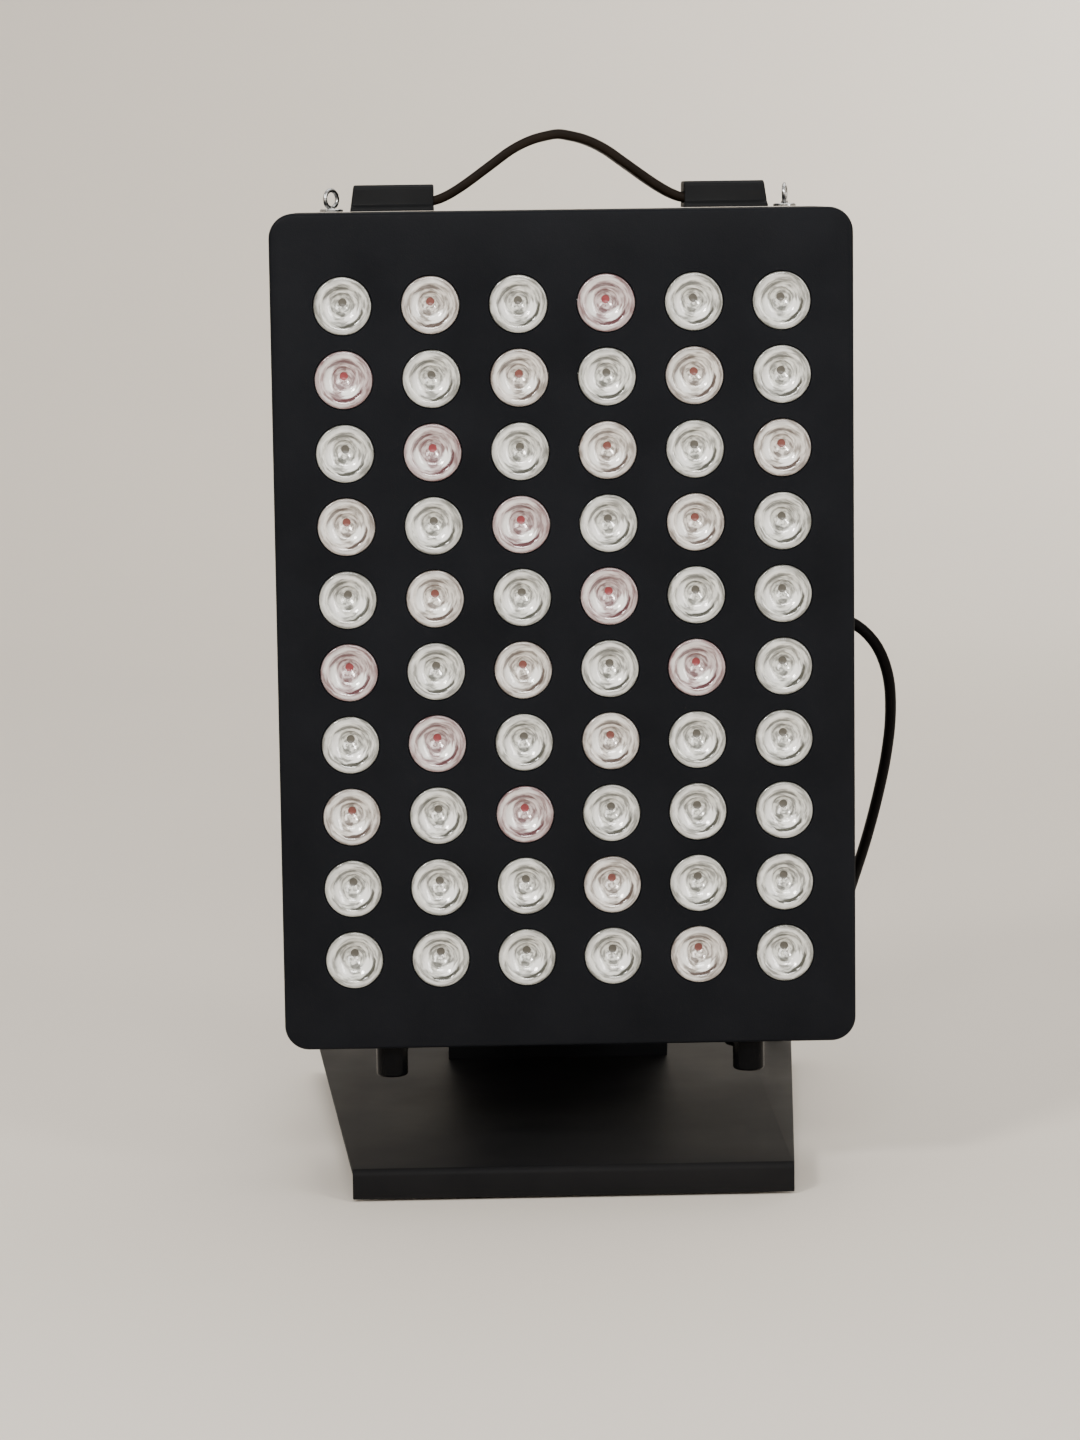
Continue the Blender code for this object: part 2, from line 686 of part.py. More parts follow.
def fan_frame_mesh():
    """Square frame with a round bore, and crossed arms that carry the hub plate."""
    bore = FAN_SIZE - 2 * FAN_WALL
    middle = FAN_DEPTH / 2
    square = block("fan_frame", (FAN_SIZE, FAN_DEPTH, FAN_SIZE), FAN_CORNER, segments=2)
    frame = bpy.data.objects.new("frame", square)
    parts.objects.link(frame)
    cutter = rod("bore", bore, FAN_DEPTH + 2 * OVERRUN, "Y", FAN_SIDES)
    combine(frame, "DIFFERENCE", cutter, (0, 0, 0), "bore")
    spider_y = middle - FAN_SPIDER_DEPTH / 2
    span = bore + FAN_WALL
    arm = block("arm", (span, FAN_SPIDER_DEPTH, FAN_ARM_WIDTH))
    turned_arm = block("turned_arm", (FAN_ARM_WIDTH, FAN_SPIDER_DEPTH, span))
    plate = rod("plate", FAN_HUB_DIAMETER, FAN_SPIDER_DEPTH, "Y")
    combine(frame, "UNION", arm, (0, spider_y, 0), "arm")
    combine(frame, "UNION", turned_arm, (0, spider_y, 0), "turned_arm")
    combine(frame, "UNION", plate, (0, spider_y, 0), "plate")
    mesh = baked(frame)
    for label in ("bore", "arm", "turned_arm", "plate"):
        bpy.data.objects.remove(bpy.data.objects[f"frame_{label}"])
    return mesh


def fan_rotor_mesh():
    """Hub with pitched blades, centred on its own depth."""
    depth = FAN_DEPTH - FAN_SPIDER_DEPTH - FAN_MOUTH_DEPTH - GAP
    hub_radius = FAN_HUB_DIAMETER / 2
    tip_radius = FAN_SIZE / 2 - FAN_WALL - FAN_TIP_GAP
    rotor = bpy.data.objects.new("rotor", rod("fan_rotor", FAN_HUB_DIAMETER, depth, "Y"))
    parts.objects.link(rotor)
    root = hub_radius - FAN_WALL
    blade = block("blade", (tip_radius - root, BLADE_THICKNESS, BLADE_CHORD))
    pitch = Matrix.Rotation(math.pi / 2 - BLADE_PITCH, 4, "X")
    out = shift(x=(tip_radius + root) / 2)
    placed = []
    for number in range(BLADE_COUNT):
        placed.append((blade, Matrix.Rotation(2 * math.pi * number / BLADE_COUNT, 4, "Y") @ out @ pitch))
    combine(rotor, "UNION", gather("blades", placed), (0, 0, 0), "blades")
    mesh = baked(rotor)
    bpy.data.objects.remove(bpy.data.objects["rotor_blades"])
    return mesh


def grille_mesh():
    """Flat guard of rings and spokes over a fan hole."""
    outer = FAN_SIZE / 2 + GRILLE_MARGIN
    inner = GRILLE_HUB_DIAMETER / 2
    pitch = (outer - inner) / GRILLE_RINGS
    loops = [arc((0, 0), outer, 0, 2 * math.pi * (1 - 1 / FAN_SIDES), FAN_SIDES - 1)]
    for ring in range(GRILLE_RINGS):
        low = inner + ring * pitch
        high = low + pitch - GRILLE_RING
        for spoke in range(GRILLE_SPOKES):
            start = 2 * math.pi * spoke / GRILLE_SPOKES
            end = start + 2 * math.pi / GRILLE_SPOKES
            loop = arc((0, 0), low, start + GRILLE_RING / low, end - GRILLE_RING / low, GRILLE_ARC_STEPS)
            loop += arc((0, 0), high, end - GRILLE_RING / high, start + GRILLE_RING / high, GRILLE_ARC_STEPS)
            loops.append(loop)
    return outline("fan_grille", loops, GRILLE_THICKNESS, "XZ")


def make_fans():
    """Two fans inside the cover, with their guards outside."""
    frame = fan_frame_mesh()
    rotor = fan_rotor_mesh()
    grille = grille_mesh()
    grille_depth = COVER_OUTSIDE + GRILLE_THICKNESS / 2
    for level, sign in (("upper", 1), ("lower", -1)):
        z = sign * FAN_SPACING / 2
        back = COVER_INSIDE - GAP
        add_part(f"fan_frame_{level}", frame, panel_at(0, back - FAN_DEPTH / 2, z), black_plastic)
        rotor_middle = back - FAN_DEPTH + (FAN_DEPTH - FAN_SPIDER_DEPTH - GAP + FAN_MOUTH_DEPTH) / 2
        add_part(f"fan_rotor_{level}", rotor, panel_at(0, rotor_middle, z), black_plastic)
        add_part(f"fan_grille_{level}", grille, panel_at(0, grille_depth, z), plain_steel)


# Handle, eyes and feet


def cap_mesh():
    """End cap of the handle, with its outer end at +X and its base at zero."""
    half = CAP_WIDTH / 2
    inner = half - CAP_SKIRT_STEP
    side = [
        (half, 0),
        (half, CAP_SKIRT_HEIGHT / 2),
        (inner, CAP_SKIRT_HEIGHT),
        (inner, CAP_HEIGHT - CAP_ROUND),
        (inner - CAP_ROUND, CAP_HEIGHT),
    ]
    points = side + [(-across, up) for across, up in reversed(side)]
    mesh = outline("handle_cap", [points], CAP_LENGTH, "YZ")
    for vert in mesh.vertices:
        if vert.co.x > 0:
            vert.co.x -= CAP_SLANT * vert.co.z / CAP_HEIGHT
    return mesh


def make_handle():
    """Strap that arches between two caps on top of the housing."""
    top = panel_at(0, PANEL_DEPTH / 2, PANEL_HEIGHT / 2 + GAP)
    cap_middle = HANDLE_LENGTH / 2 - CAP_LENGTH / 2
    half_span = HANDLE_LENGTH / 2 - CAP_LENGTH
    slot_size = (STRAP_TUCK + GAP + OVERRUN, STRAP_WIDTH + 2 * GAP, STRAP_THICKNESS + 2 * GAP)
    slot_middle = half_span + (STRAP_TUCK + GAP - OVERRUN) / 2
    for side, sign in (("left", -1), ("right", 1)):
        mesh = cap_mesh()
        if sign < 0:
            mesh.transform(Matrix.Rotation(math.pi, 4, "Z"))
        cap = add_part(f"handle_cap_{side}", mesh, top + Vector((sign * cap_middle, 0, 0)), black_plastic)
        slot = block("slot", slot_size)
        combine(cap, "DIFFERENCE", slot, top + Vector((sign * slot_middle, 0, STRAP_EXIT_HEIGHT)), "slot")

    bm = bmesh.new()
    steps = len(STRAP_RISE_SHARES)
    right = []
    for number, share in enumerate(STRAP_RISE_SHARES):
        right.append((half_span * number / steps, STRAP_EXIT_HEIGHT + STRAP_RISE * share))
    right.append((half_span, STRAP_EXIT_HEIGHT))
    right.append((half_span + STRAP_TUCK, STRAP_EXIT_HEIGHT))
    route = [(-x, z) for x, z in reversed(right[1:])] + right
    verts = [bm.verts.new((x, -STRAP_WIDTH / 2, z)) for x, z in route]
    edges = [bm.edges.new(pair) for pair in zip(verts, verts[1:])]
    swept = bmesh.ops.extrude_edge_only(bm, edges=edges)["geom"]
    moved = [item for item in swept if isinstance(item, bmesh.types.BMVert)]
    bmesh.ops.translate(bm, verts=moved, vec=(0, STRAP_WIDTH, 0))
    strap = add_part("handle_strap", mesh_from(bm, "handle_strap"), top, strap_rubber)
    thick = strap.modifiers.new("thickness", "SOLIDIFY")
    thick.thickness = STRAP_THICKNESS
    thick.offset = 0
    thick.use_even_offset = True


def make_hanging_eyes():
    """Ring on a short stem and a collar, free to swivel about its stem."""
    wire = EYE_WIRE_DIAMETER / 2
    ring_radius = EYE_RING_DIAMETER / 2
    ring_height = EYE_COLLAR_HEIGHT + wire / 2 + ring_radius
    bm = bmesh.new()
    circle = bmesh.ops.create_circle(bm, segments=6, radius=wire,
                                     matrix=shift(ring_radius) @ Matrix.Rotation(math.pi / 2, 4, "X"))
    rims = list({edge for vert in circle["verts"] for edge in vert.link_edges})
    bmesh.ops.spin(bm, geom=circle["verts"] + rims, cent=(0, 0, 0), axis=(0, 0, 1), angle=2 * math.pi,
                   steps=EYE_STEPS, use_merge=True, use_duplicate=False)
    bmesh.ops.remove_doubles(bm, verts=bm.verts, dist=MERGE)
    upright = shift(z=ring_height) @ Matrix.Rotation(math.pi / 2, 4, "X")
    bmesh.ops.transform(bm, matrix=upright, verts=bm.verts)
    bmesh.ops.recalc_face_normals(bm, faces=bm.faces)
    ring = mesh_from(bm, "ring")
    base = EYE_COLLAR_HEIGHT
    stem_top = base + wire
    profile = (
        (0, stem_top),
        (EYE_STEM_DIAMETER / 2, stem_top),
        (EYE_STEM_DIAMETER / 2, base),
        (EYE_COLLAR_DIAMETER / 2, base),
        (EYE_COLLAR_DIAMETER / 2, 0),
        (0, 0),
    )
    stem = turned_mesh("hanging_eye", profile, "Z", SCREW_SIDES)
    for side, sign, turn in (("left", -1, EYE_LEFT_TURN), ("right", 1, EYE_RIGHT_TURN)):
        x = sign * (PANEL_WIDTH / 2 - EYE_INSET)
        place = panel_at(x, PANEL_DEPTH / 2, PANEL_HEIGHT / 2 + GAP)
        eye = add_part(f"hanging_eye_{side}", stem, place, chrome)
        turned = ring.copy()
        turned.transform(Matrix.Rotation(turn, 4, "Z"))
        combine(eye, "UNION", turned, place, "ring")


def make_rubber_feet():
    """Four feet under the housing."""
    radius = FOOT_DIAMETER / 2
    profile = (
        (0, 0),
        (radius, 0),
        (radius, FOOT_CHAMFER - FOOT_HEIGHT),
        (radius - FOOT_CHAMFER, -FOOT_HEIGHT),
        (0, -FOOT_HEIGHT),
    )
    foot = turned_mesh("rubber_foot", profile, "Z")
    for end, depth in (("front", FOOT_INSET), ("rear", PANEL_DEPTH - FOOT_INSET)):
        for side, sign in (("left", -1), ("right", 1)):
            place = panel_at(sign * FOOT_SPACING / 2, depth, -PANEL_HEIGHT / 2 - GAP)
            add_part(f"rubber_foot_{end}_{side}", foot, place, gloss_rubber)


# Inlet, plug and switches


def make_power_inlet():
    """Two-pin inlet set into the rear cover."""
    body_middle = COVER_OUTSIDE + SINK - INLET_BODY_DEPTH / 2
    body = block("power_inlet", (INLET_BODY_WIDTH, INLET_BODY_DEPTH, INLET_BODY_HEIGHT))
    z = -HINGE_DROP
    inlet = add_part("power_inlet", body, panel_at(INLET_X, body_middle, z), black_plastic)
    rim = block("rim", (INLET_RIM_WIDTH, INLET_RIM_DEPTH, INLET_RIM_HEIGHT), INLET_RIM_DEPTH, segments=2)
    combine(inlet, "UNION", rim, panel_at(INLET_X, COVER_OUTSIDE + INLET_RIM_DEPTH / 2, z), "rim")
    face = COVER_OUTSIDE + INLET_RIM_DEPTH
    socket = block("socket", (INLET_SOCKET_WIDTH, INLET_SOCKET_DEPTH + OVERRUN, INLET_SOCKET_HEIGHT))
    socket_middle = face - (INLET_SOCKET_DEPTH - OVERRUN) / 2
    combine(inlet, "DIFFERENCE", socket, panel_at(INLET_X, socket_middle, z), "socket")
    floor = face - INLET_SOCKET_DEPTH
    pin = rod("pin", PIN_DIAMETER, PIN_LENGTH + SINK, "Y", SCREW_SIDES)
    pins = gather("pins", [(pin, shift(sign * PIN_SPACING / 2)) for sign in (-1, 1)])
    combine(inlet, "UNION", pins, panel_at(INLET_X, floor + (PIN_LENGTH - SINK) / 2, z), "pins")


def make_inlet_plug():
    """Angled plug whose lead leaves sideways along the tilt axis."""
    face = COVER_OUTSIDE + INLET_RIM_DEPTH
    z = -HINGE_DROP
    axis_depth = PANEL_DEPTH + HINGE_SETBACK
    front = face + GAP
    back = axis_depth + PLUG_BACK
    body = block("inlet_plug", (PLUG_WIDTH, back - front, PLUG_HEIGHT), PLUG_CORNER, axis=2, segments=2)
    plug = add_part("inlet_plug", body, panel_at(INLET_X, (front + back) / 2, z), black_plastic)
    nose_length = INLET_SOCKET_DEPTH - GAP
    nose = block("nose", (INLET_SOCKET_WIDTH - 2 * GAP, nose_length + SINK, INLET_SOCKET_HEIGHT - 2 * GAP))
    nose_middle = face - INLET_SOCKET_DEPTH + GAP + (nose_length + SINK + GAP) / 2
    combine(plug, "UNION", nose, panel_at(INLET_X, nose_middle, z), "nose")
    relief_length = RELIEF_LENGTH + PLUG_CORNER
    relief = rod("relief", RELIEF_ROOT_DIAMETER, relief_length, "X", tip_diameter=RELIEF_TIP_DIAMETER)
    relief_middle = INLET_X + PLUG_WIDTH / 2 + (RELIEF_LENGTH - PLUG_CORNER) / 2
    combine(plug, "UNION", relief, panel_at(relief_middle, axis_depth, z), "relief")
    bore = rod("bore", PIN_DIAMETER + 2 * GAP, PIN_LENGTH + OVERRUN, "Y", SCREW_SIDES)
    bores = gather("bores", [(bore, shift(sign * PIN_SPACING / 2)) for sign in (-1, 1)])
    bore_middle = face - INLET_SOCKET_DEPTH + (PIN_LENGTH + OVERRUN) / 2
    combine(plug, "DIFFERENCE", bores, panel_at(INLET_X, bore_middle, z), "bores")


def rocker_mesh():
    """Rocker with a shallow valley across its face, about its pivot."""
    half = ROCKER_LENGTH / 2
    tip = ROCKER_CROWN + half * math.tan(ROCKER_TILT)
    keel = ROCKER_PIVOT_DEPTH - GAP
    points = [(ROCKER_CROWN, 0), (tip, half), (0, half)]
    points += arc((0, 0), keel, math.pi / 2 + ROCKER_TILT, math.pi * 3 / 2 - ROCKER_TILT, CORNER_SEGMENTS)
    points += [(0, -half), (tip, -half)]
    return outline("switch_rocker", [points], ROCKER_WIDTH, "YZ")


def make_switches():
    """Two rocker switches below the inlet."""
    face = COVER_OUTSIDE + BEZEL_RIM_DEPTH
    reach = math.hypot(ROCKER_LENGTH / 2, ROCKER_CROWN + ROCKER_LENGTH / 2 * math.tan(ROCKER_TILT))
    body = block("switch_body", (SWITCH_BODY_WIDTH, SWITCH_BODY_DEPTH, SWITCH_BODY_HEIGHT))
    rim = block("rim", (BEZEL_WIDTH, BEZEL_RIM_DEPTH, BEZEL_HEIGHT))
    well = block("well", (ROCKER_WIDTH + 2 * GAP, SWITCH_WELL_DEPTH + OVERRUN, 2 * (reach + GAP)))
    rocker = rocker_mesh()
    for number, light in enumerate(("red", "infrared")):
        z = SWITCH_FIRST_Z - number * SWITCH_PITCH
        middle = COVER_OUTSIDE + SINK - SWITCH_BODY_DEPTH / 2
        bezel = add_part(f"switch_bezel_{light}", body, panel_at(SWITCH_X, middle, z), black_plastic)
        combine(bezel, "UNION", rim, panel_at(SWITCH_X, COVER_OUTSIDE + BEZEL_RIM_DEPTH / 2, z), "rim")
        well_middle = face - (SWITCH_WELL_DEPTH - OVERRUN) / 2
        combine(bezel, "DIFFERENCE", well, panel_at(SWITCH_X, well_middle, z), "well")
        switch = add_part(f"switch_rocker_{light}", rocker, panel_at(SWITCH_X, face - ROCKER_PIVOT_DEPTH, z),
                          black_plastic)
        switch.rotation_euler.x = ROCKER_TILT


# Tilt bracket, bolt and knob


def neck_inside():
    """Width between the neck's ears."""
    return NECK_WIDTH - 2 * NECK_SHEET


def make_tilt_bracket():
    """U-shaped bracket on the rear cover, between the ears of the neck."""
    width = neck_inside() - 2 * SIDE_CLEARANCE
    web_y = HINGE.y - HINGE_SETBACK + GAP + BRACKET_SHEET / 2
    web = block("tilt_bracket", (width, BRACKET_SHEET, BRACKET_WEB_HEIGHT))
    bracket = add_part("tilt_bracket", web, (0, web_y, HINGE.z), powder_black)
    root = web_y - HINGE.y
    lean = math.atan2(BRACKET_EAR_ROOT / 2 - EAR_RADIUS, -root)
    turn = math.pi / 2 - lean
    points = [(root, BRACKET_EAR_ROOT / 2), (root, -BRACKET_EAR_ROOT / 2)]
    points += arc((0, 0), EAR_RADIUS, -turn, turn, CORNER_SEGMENTS * 2)
    for side, sign in (("left", -1), ("right", 1)):
        ear = outline("ear", [points], BRACKET_SHEET, "YZ")
        x = sign * (width - BRACKET_SHEET) / 2
        combine(bracket, "UNION", ear, (x, HINGE.y, HINGE.z), f"ear_{side}")
    hole = rod("hole", BOLT_DIAMETER + 2 * GAP, width + 2 * OVERRUN, "X")
    combine(bracket, "DIFFERENCE", hole, HINGE, "bolt_hole")
    screw = rod("screw", SCREW_DIAMETER + 2 * GAP, BRACKET_SHEET + 2 * OVERRUN, "Y", SCREW_SIDES)
    screws = gather("screws", [(screw, shift(z=sign * BRACKET_SCREW_SPACING / 2)) for sign in (-1, 1)])
    combine(bracket, "DIFFERENCE", screws, (0, web_y, HINGE.z), "screw_holes")


def neck_lean():
    """Foot of the neck's axis on the base, and the neck's lean from upright."""
    drop = HINGE.z - BASE_HEIGHT
    rear = BASE_REAR_Y - NECK_REAR_MARGIN - HINGE.y
    lean = math.atan2(rear, drop)
    for _ in range(8):
        lean = math.atan2(rear - EAR_RADIUS / math.cos(lean), drop)
    return lean


def on_neck(lean, forward, up):
    """A point of the neck's side view, from the hinge: towards the front face, and up the neck."""
    return (HINGE.y - forward * math.cos(lean) - up * math.sin(lean),
            HINGE.z - forward * math.sin(lean) + up * math.cos(lean))


def neck_up_to(lean, forward, z):
    """How far up the neck a line parallel to it reaches a height."""
    return (z - HINGE.z + forward * math.sin(lean)) / math.cos(lean)


def make_neck():
    """Folded channel that leans forward from the back of the base to the tilt bolt."""
    lean = neck_lean()
    bottom = BASE_HEIGHT + GAP
    front_foot = on_neck(lean, EAR_RADIUS, neck_up_to(lean, EAR_RADIUS, bottom))
    rear_foot = on_neck(lean, -EAR_RADIUS, neck_up_to(lean, -EAR_RADIUS, bottom))
    head = arc((HINGE.y, HINGE.z), EAR_RADIUS, lean, lean + math.pi, 2 * CORNER_SEGMENTS)
    neck = add_part("neck", outline("neck", [[front_foot, rear_foot] + head], NECK_WIDTH, "YZ"), (0, 0, 0),
                    powder_black, None)
    inner = EAR_RADIUS - NECK_SHEET
    floor = bottom + NECK_SHEET
    beyond = EAR_RADIUS + NECK_SHEET
    hollow = [
        on_neck(lean, inner, neck_up_to(lean, inner, floor)),
        on_neck(lean, -beyond, neck_up_to(lean, -beyond, floor)),
        on_neck(lean, -beyond, beyond),
        on_neck(lean, beyond, beyond),
        on_neck(lean, beyond, -NECK_NOTCH),
        on_neck(lean, inner, -NECK_NOTCH),
    ]
    combine(neck, "DIFFERENCE", outline("hollow", [hollow], neck_inside(), "YZ"), (0, 0, 0), "hollow")
    hole = rod("hole", BOLT_DIAMETER + 2 * GAP, NECK_WIDTH + 2 * OVERRUN, "X")
    combine(neck, "DIFFERENCE", hole, HINGE, "bolt_hole")
    screw = rod("screw", SCREW_DIAMETER + 2 * GAP, NECK_SHEET + 2 * OVERRUN, "Z", SCREW_SIDES)
    screws = gather("screws", [(screw, shift(sign * FOOT_SCREW_SPACING / 2)) for sign in (-1, 1)])
    middle = (front_foot[0] + rear_foot[0]) / 2
    combine(neck, "DIFFERENCE", screws, (0, middle, bottom + NECK_SHEET / 2), "screw_holes")
    return middle


def make_tilt_bolt_and_knob():
    """Bolt through the neck and the bracket, with a lobed knob on its left end."""
    right = NECK_WIDTH / 2 + GAP
    left = -NECK_WIDTH / 2 - GAP
    shank_length = right - left + BOLT_REACH
    shank = rod("tilt_bolt", BOLT_DIAMETER, shank_length, "X")
    shank_middle = (right + left - BOLT_REACH) / 2
    bolt = add_part("tilt_bolt", shank, HINGE + Vector((shank_middle, 0, 0)), plain_steel, None)
    head = rod("head", BOLT_HEAD_DIAMETER, BOLT_HEAD_HEIGHT, "X", 6)
    combine(bolt, "UNION", head, HINGE + Vector((right + BOLT_HEAD_HEIGHT / 2, 0, 0)), "head")

    points = []
    for number in range(KNOB_POINTS):
        angle = 2 * math.pi * number / KNOB_POINTS
        radius = KNOB_DIAMETER / 2 - KNOB_LOBE * (1 - math.cos(KNOB_LOBES * angle)) / 2
        points.append((radius * math.cos(angle), radius * math.sin(angle)))
    knob_x = left - KNOB_HUB_DEPTH - KNOB_DEPTH / 2
    knob = add_part("tilt_knob", outline("tilt_knob", [points], KNOB_DEPTH, "YZ"),
                    HINGE + Vector((knob_x, 0, 0)), black_plastic, None)
    hub = rod("hub", KNOB_HUB_DIAMETER, KNOB_HUB_DEPTH + SINK, "X")
    combine(knob, "UNION", hub, HINGE + Vector((left - (KNOB_HUB_DEPTH + SINK) / 2, 0, 0)), "hub")
    bore_length = BOLT_REACH + GAP + OVERRUN
    bore = rod("bore", BOLT_DIAMETER + 2 * GAP, bore_length, "X")
    combine(knob, "DIFFERENCE", bore, HINGE + Vector((left + OVERRUN - bore_length / 2, 0, 0)), "bore")


# Base, pads and screws


def make_base(screw_y):
    """Folded base sheet: wide plate with turned-down lips in front and behind."""
    bm = bmesh.new()
    profile = (
        (BASE_FRONT_Y, PAD_DROP),
        (BASE_FRONT_Y, BASE_HEIGHT),
        (BASE_REAR_Y, BASE_HEIGHT),
        (BASE_REAR_Y, PAD_DROP),
    )
    verts = [bm.verts.new((-base_half_width(y), y, z)) for y, z in profile]
    edges = [bm.edges.new(pair) for pair in zip(verts, verts[1:])]
    swept = bmesh.ops.extrude_edge_only(bm, edges=edges)["geom"]
    for item in swept:
        if isinstance(item, bmesh.types.BMVert):
            item.co.x = base_half_width(item.co.y)
    bmesh.ops.recalc_face_normals(bm, faces=bm.faces)
    if sum(face.normal.z for face in bm.faces) < 0:
        bmesh.ops.reverse_faces(bm, faces=bm.faces)
    base = add_part("base_plate", mesh_from(bm, "base_plate"), (0, 0, 0), base_black, None)
    fold = base.modifiers.new("fold", "BEVEL")
    fold.width = BASE_FOLD_RADIUS
    fold.segments = 3
    fold.limit_method = "ANGLE"
    thick = base.modifiers.new("thickness", "SOLIDIFY")
    thick.thickness = BASE_SHEET
    thick.offset = -1
    thick.use_even_offset = True
    hole = rod("hole", SCREW_DIAMETER + 2 * GAP, BASE_SHEET + 2 * OVERRUN, "Z", SCREW_SIDES)
    holes = gather("holes", [(hole, shift(sign * FOOT_SCREW_SPACING / 2)) for sign in (-1, 1)])
    combine(base, "DIFFERENCE", holes, (0, screw_y, BASE_HEIGHT - BASE_SHEET / 2), "screw_holes")
    width = (BASE_REAR_WIDTH - REAR_LIP_WIDTH) / 2 + OVERRUN
    depth = BASE_SHEET + BASE_FOLD_RADIUS + OVERRUN
    corner = block("corner", (width, depth, BASE_HEIGHT + 2 * OVERRUN))
    corners = gather("corners", [(corner, shift(sign * (REAR_LIP_WIDTH + width) / 2)) for sign in (-1, 1)])
    combine(base, "DIFFERENCE", corners, (0, BASE_REAR_Y + OVERRUN - depth / 2, BASE_HEIGHT / 2), "corners")


def base_half_width(y):
    """Half the base's width at a depth, from front to rear."""
    share = (y - BASE_FRONT_Y) / BASE_DEPTH
    return (BASE_FRONT_WIDTH + (BASE_REAR_WIDTH - BASE_FRONT_WIDTH) * share) / 2


def make_base_pads():
    """Rubber pads under the plate, which the stand rests on."""
    height = BASE_HEIGHT - BASE_SHEET - GAP
    pad = rod("base_pad", PAD_DIAMETER, height, "Z", PAD_SIDES)
    for end, y in (("front", BASE_FRONT_Y + PAD_INSET), ("rear", BASE_REAR_Y - PAD_INSET)):
        for side, sign in (("left", -1), ("right", 1)):
            x = sign * (base_half_width(y) - PAD_INSET)
            add_part(f"base_pad_{end}_{side}", pad, (x, y, height / 2), gloss_rubber, None)


def screw_mesh(grip, axis):
    """Pan head screw with the underside of its head at zero."""
    head = SCREW_HEAD_DIAMETER / 2
    shank = SCREW_DIAMETER / 2
    profile = (
        (0, SCREW_HEAD_HEIGHT),
        (head - SCREW_HEAD_HEIGHT / 2, SCREW_HEAD_HEIGHT),
        (head, SCREW_HEAD_HEIGHT / 2),
        (head, 0),
        (shank, 0),
        (shank, -grip - SCREW_REACH),
        (0, -grip - SCREW_REACH),
    )
    return turned_mesh("screw", profile, axis, SCREW_SIDES)


def make_screws(foot_screw_y):
    """Screws of the neck's foot and of the tilt bracket."""
    down = screw_mesh(NECK_SHEET + 2 * GAP + BASE_SHEET, "Z")
    top = BASE_HEIGHT + 2 * GAP + NECK_SHEET
    for side, sign in (("left", -1), ("right", 1)):
        place = (sign * FOOT_SCREW_SPACING / 2, foot_screw_y, top)
        add_part(f"foot_screw_{side}", down, place, plain_steel, None)
    inward = screw_mesh(BRACKET_SHEET + 2 * GAP + COVER_SHEET, "Y")
    depth = PANEL_DEPTH + 2 * GAP + BRACKET_SHEET
    for level, sign in (("upper", 1), ("lower", -1)):
        place = panel_at(0, depth, sign * BRACKET_SCREW_SPACING / 2 - HINGE_DROP)
        add_part(f"bracket_screw_{level}", inward, place, plain_steel)


# Mains lead


def smooth_route(points, spacing):
    """Points at an even spacing on a smooth curve through the route's own points, square at both ends."""
    knots = [Vector(point) for point in points]
    knots = [2 * knots[0] - knots[1]] + knots + [2 * knots[-1] - knots[-2]]
    fine = []
    steps = 24
    for index in range(1, len(knots) - 2):
        before, start, end, after = knots[index - 1:index + 3]
        first = math.sqrt((start - before).length)
        second = math.sqrt((end - start).length)
        third = math.sqrt((after - end).length)
        pace = (end - start) / second
        leave = ((start - before) / first - (end - before) / (first + second) + pace) * second
        arrive = (pace - (after - start) / (second + third) + (after - end) / third) * second
        for step in range(steps):
            t = step / steps
            fine.append(start * (2 * t**3 - 3 * t**2 + 1) + leave * (t**3 - 2 * t**2 + t)
                        + end * (3 * t**2 - 2 * t**3) + arrive * (t**3 - t**2))
    fine.append(knots[-2])
    lengths = [0]
    for first, second in zip(fine, fine[1:]):
        lengths.append(lengths[-1] + (second - first).length)
    count = max(2, round(lengths[-1] / spacing))
    route = []
    place = 0
    for number in range(count + 1):
        target = lengths[-1] * number / count
        while place < len(lengths) - 2 and lengths[place + 1] < target:
            place += 1
        part = (target - lengths[place]) / (lengths[place + 1] - lengths[place])
        route.append(fine[place].lerp(fine[place + 1], min(part, 1)))
    square = CORD_DIAMETER / 2
    first = route[0] + (knots[2] - knots[1]).normalized() * square
    last = route[-1] + (knots[-3] - knots[-2]).normalized() * square
    return [route[0], first] + route[1:-1] + [last, route[-1]]


def coil_route():
    """Two layers of turns: in along the table, up a layer where the spiral reverses, and out again."""
    centre = Vector((*COIL_CENTRE, 0))
    steps = round(COIL_TURNS * COIL_POINTS)
    middle = math.pi * COIL_TURNS
    route = []
    for step in range(steps + 1):
        turn = 2 * math.pi * step / COIL_POINTS
        radius = COIL_INNER_RADIUS + COIL_STEP * abs(turn - middle) / (2 * math.pi)
        climb = min(max((turn - middle) / math.pi + 1 / 2, 0), 1)
        height = CORD_FLOOR + COIL_STEP * climb * climb * (3 - 2 * climb)
        angle = -math.pi / 2 - turn
        route.append(centre + Vector((radius * math.cos(angle), radius * math.sin(angle), height)))
    start = route[0] + Vector((CORD_DIAMETER, 0, 0))
    end = route[-1] + Vector((CORD_DIAMETER, 0, 0))
    return [start] + route + [end]


def least_coil_gap(route):
    """Least clear distance between turns of the coil, measured on points along it."""
    fine = []
    for first, second in zip(route, route[1:]):
        fine += [first, first.lerp(second, 0.5)]
    away = COIL_POINTS
    least = None
    for index, point in enumerate(fine):
        for other in fine[index + away:]:
            distance = (point - other).length
            if least is None or distance < least:
                least = distance
    return least - CORD_DIAMETER


def behind_base(route):
    """Points given across, back from the base's rear edge, and up."""
    return [Vector((across, BASE_REAR_Y + back, up)) for across, back, up in route]


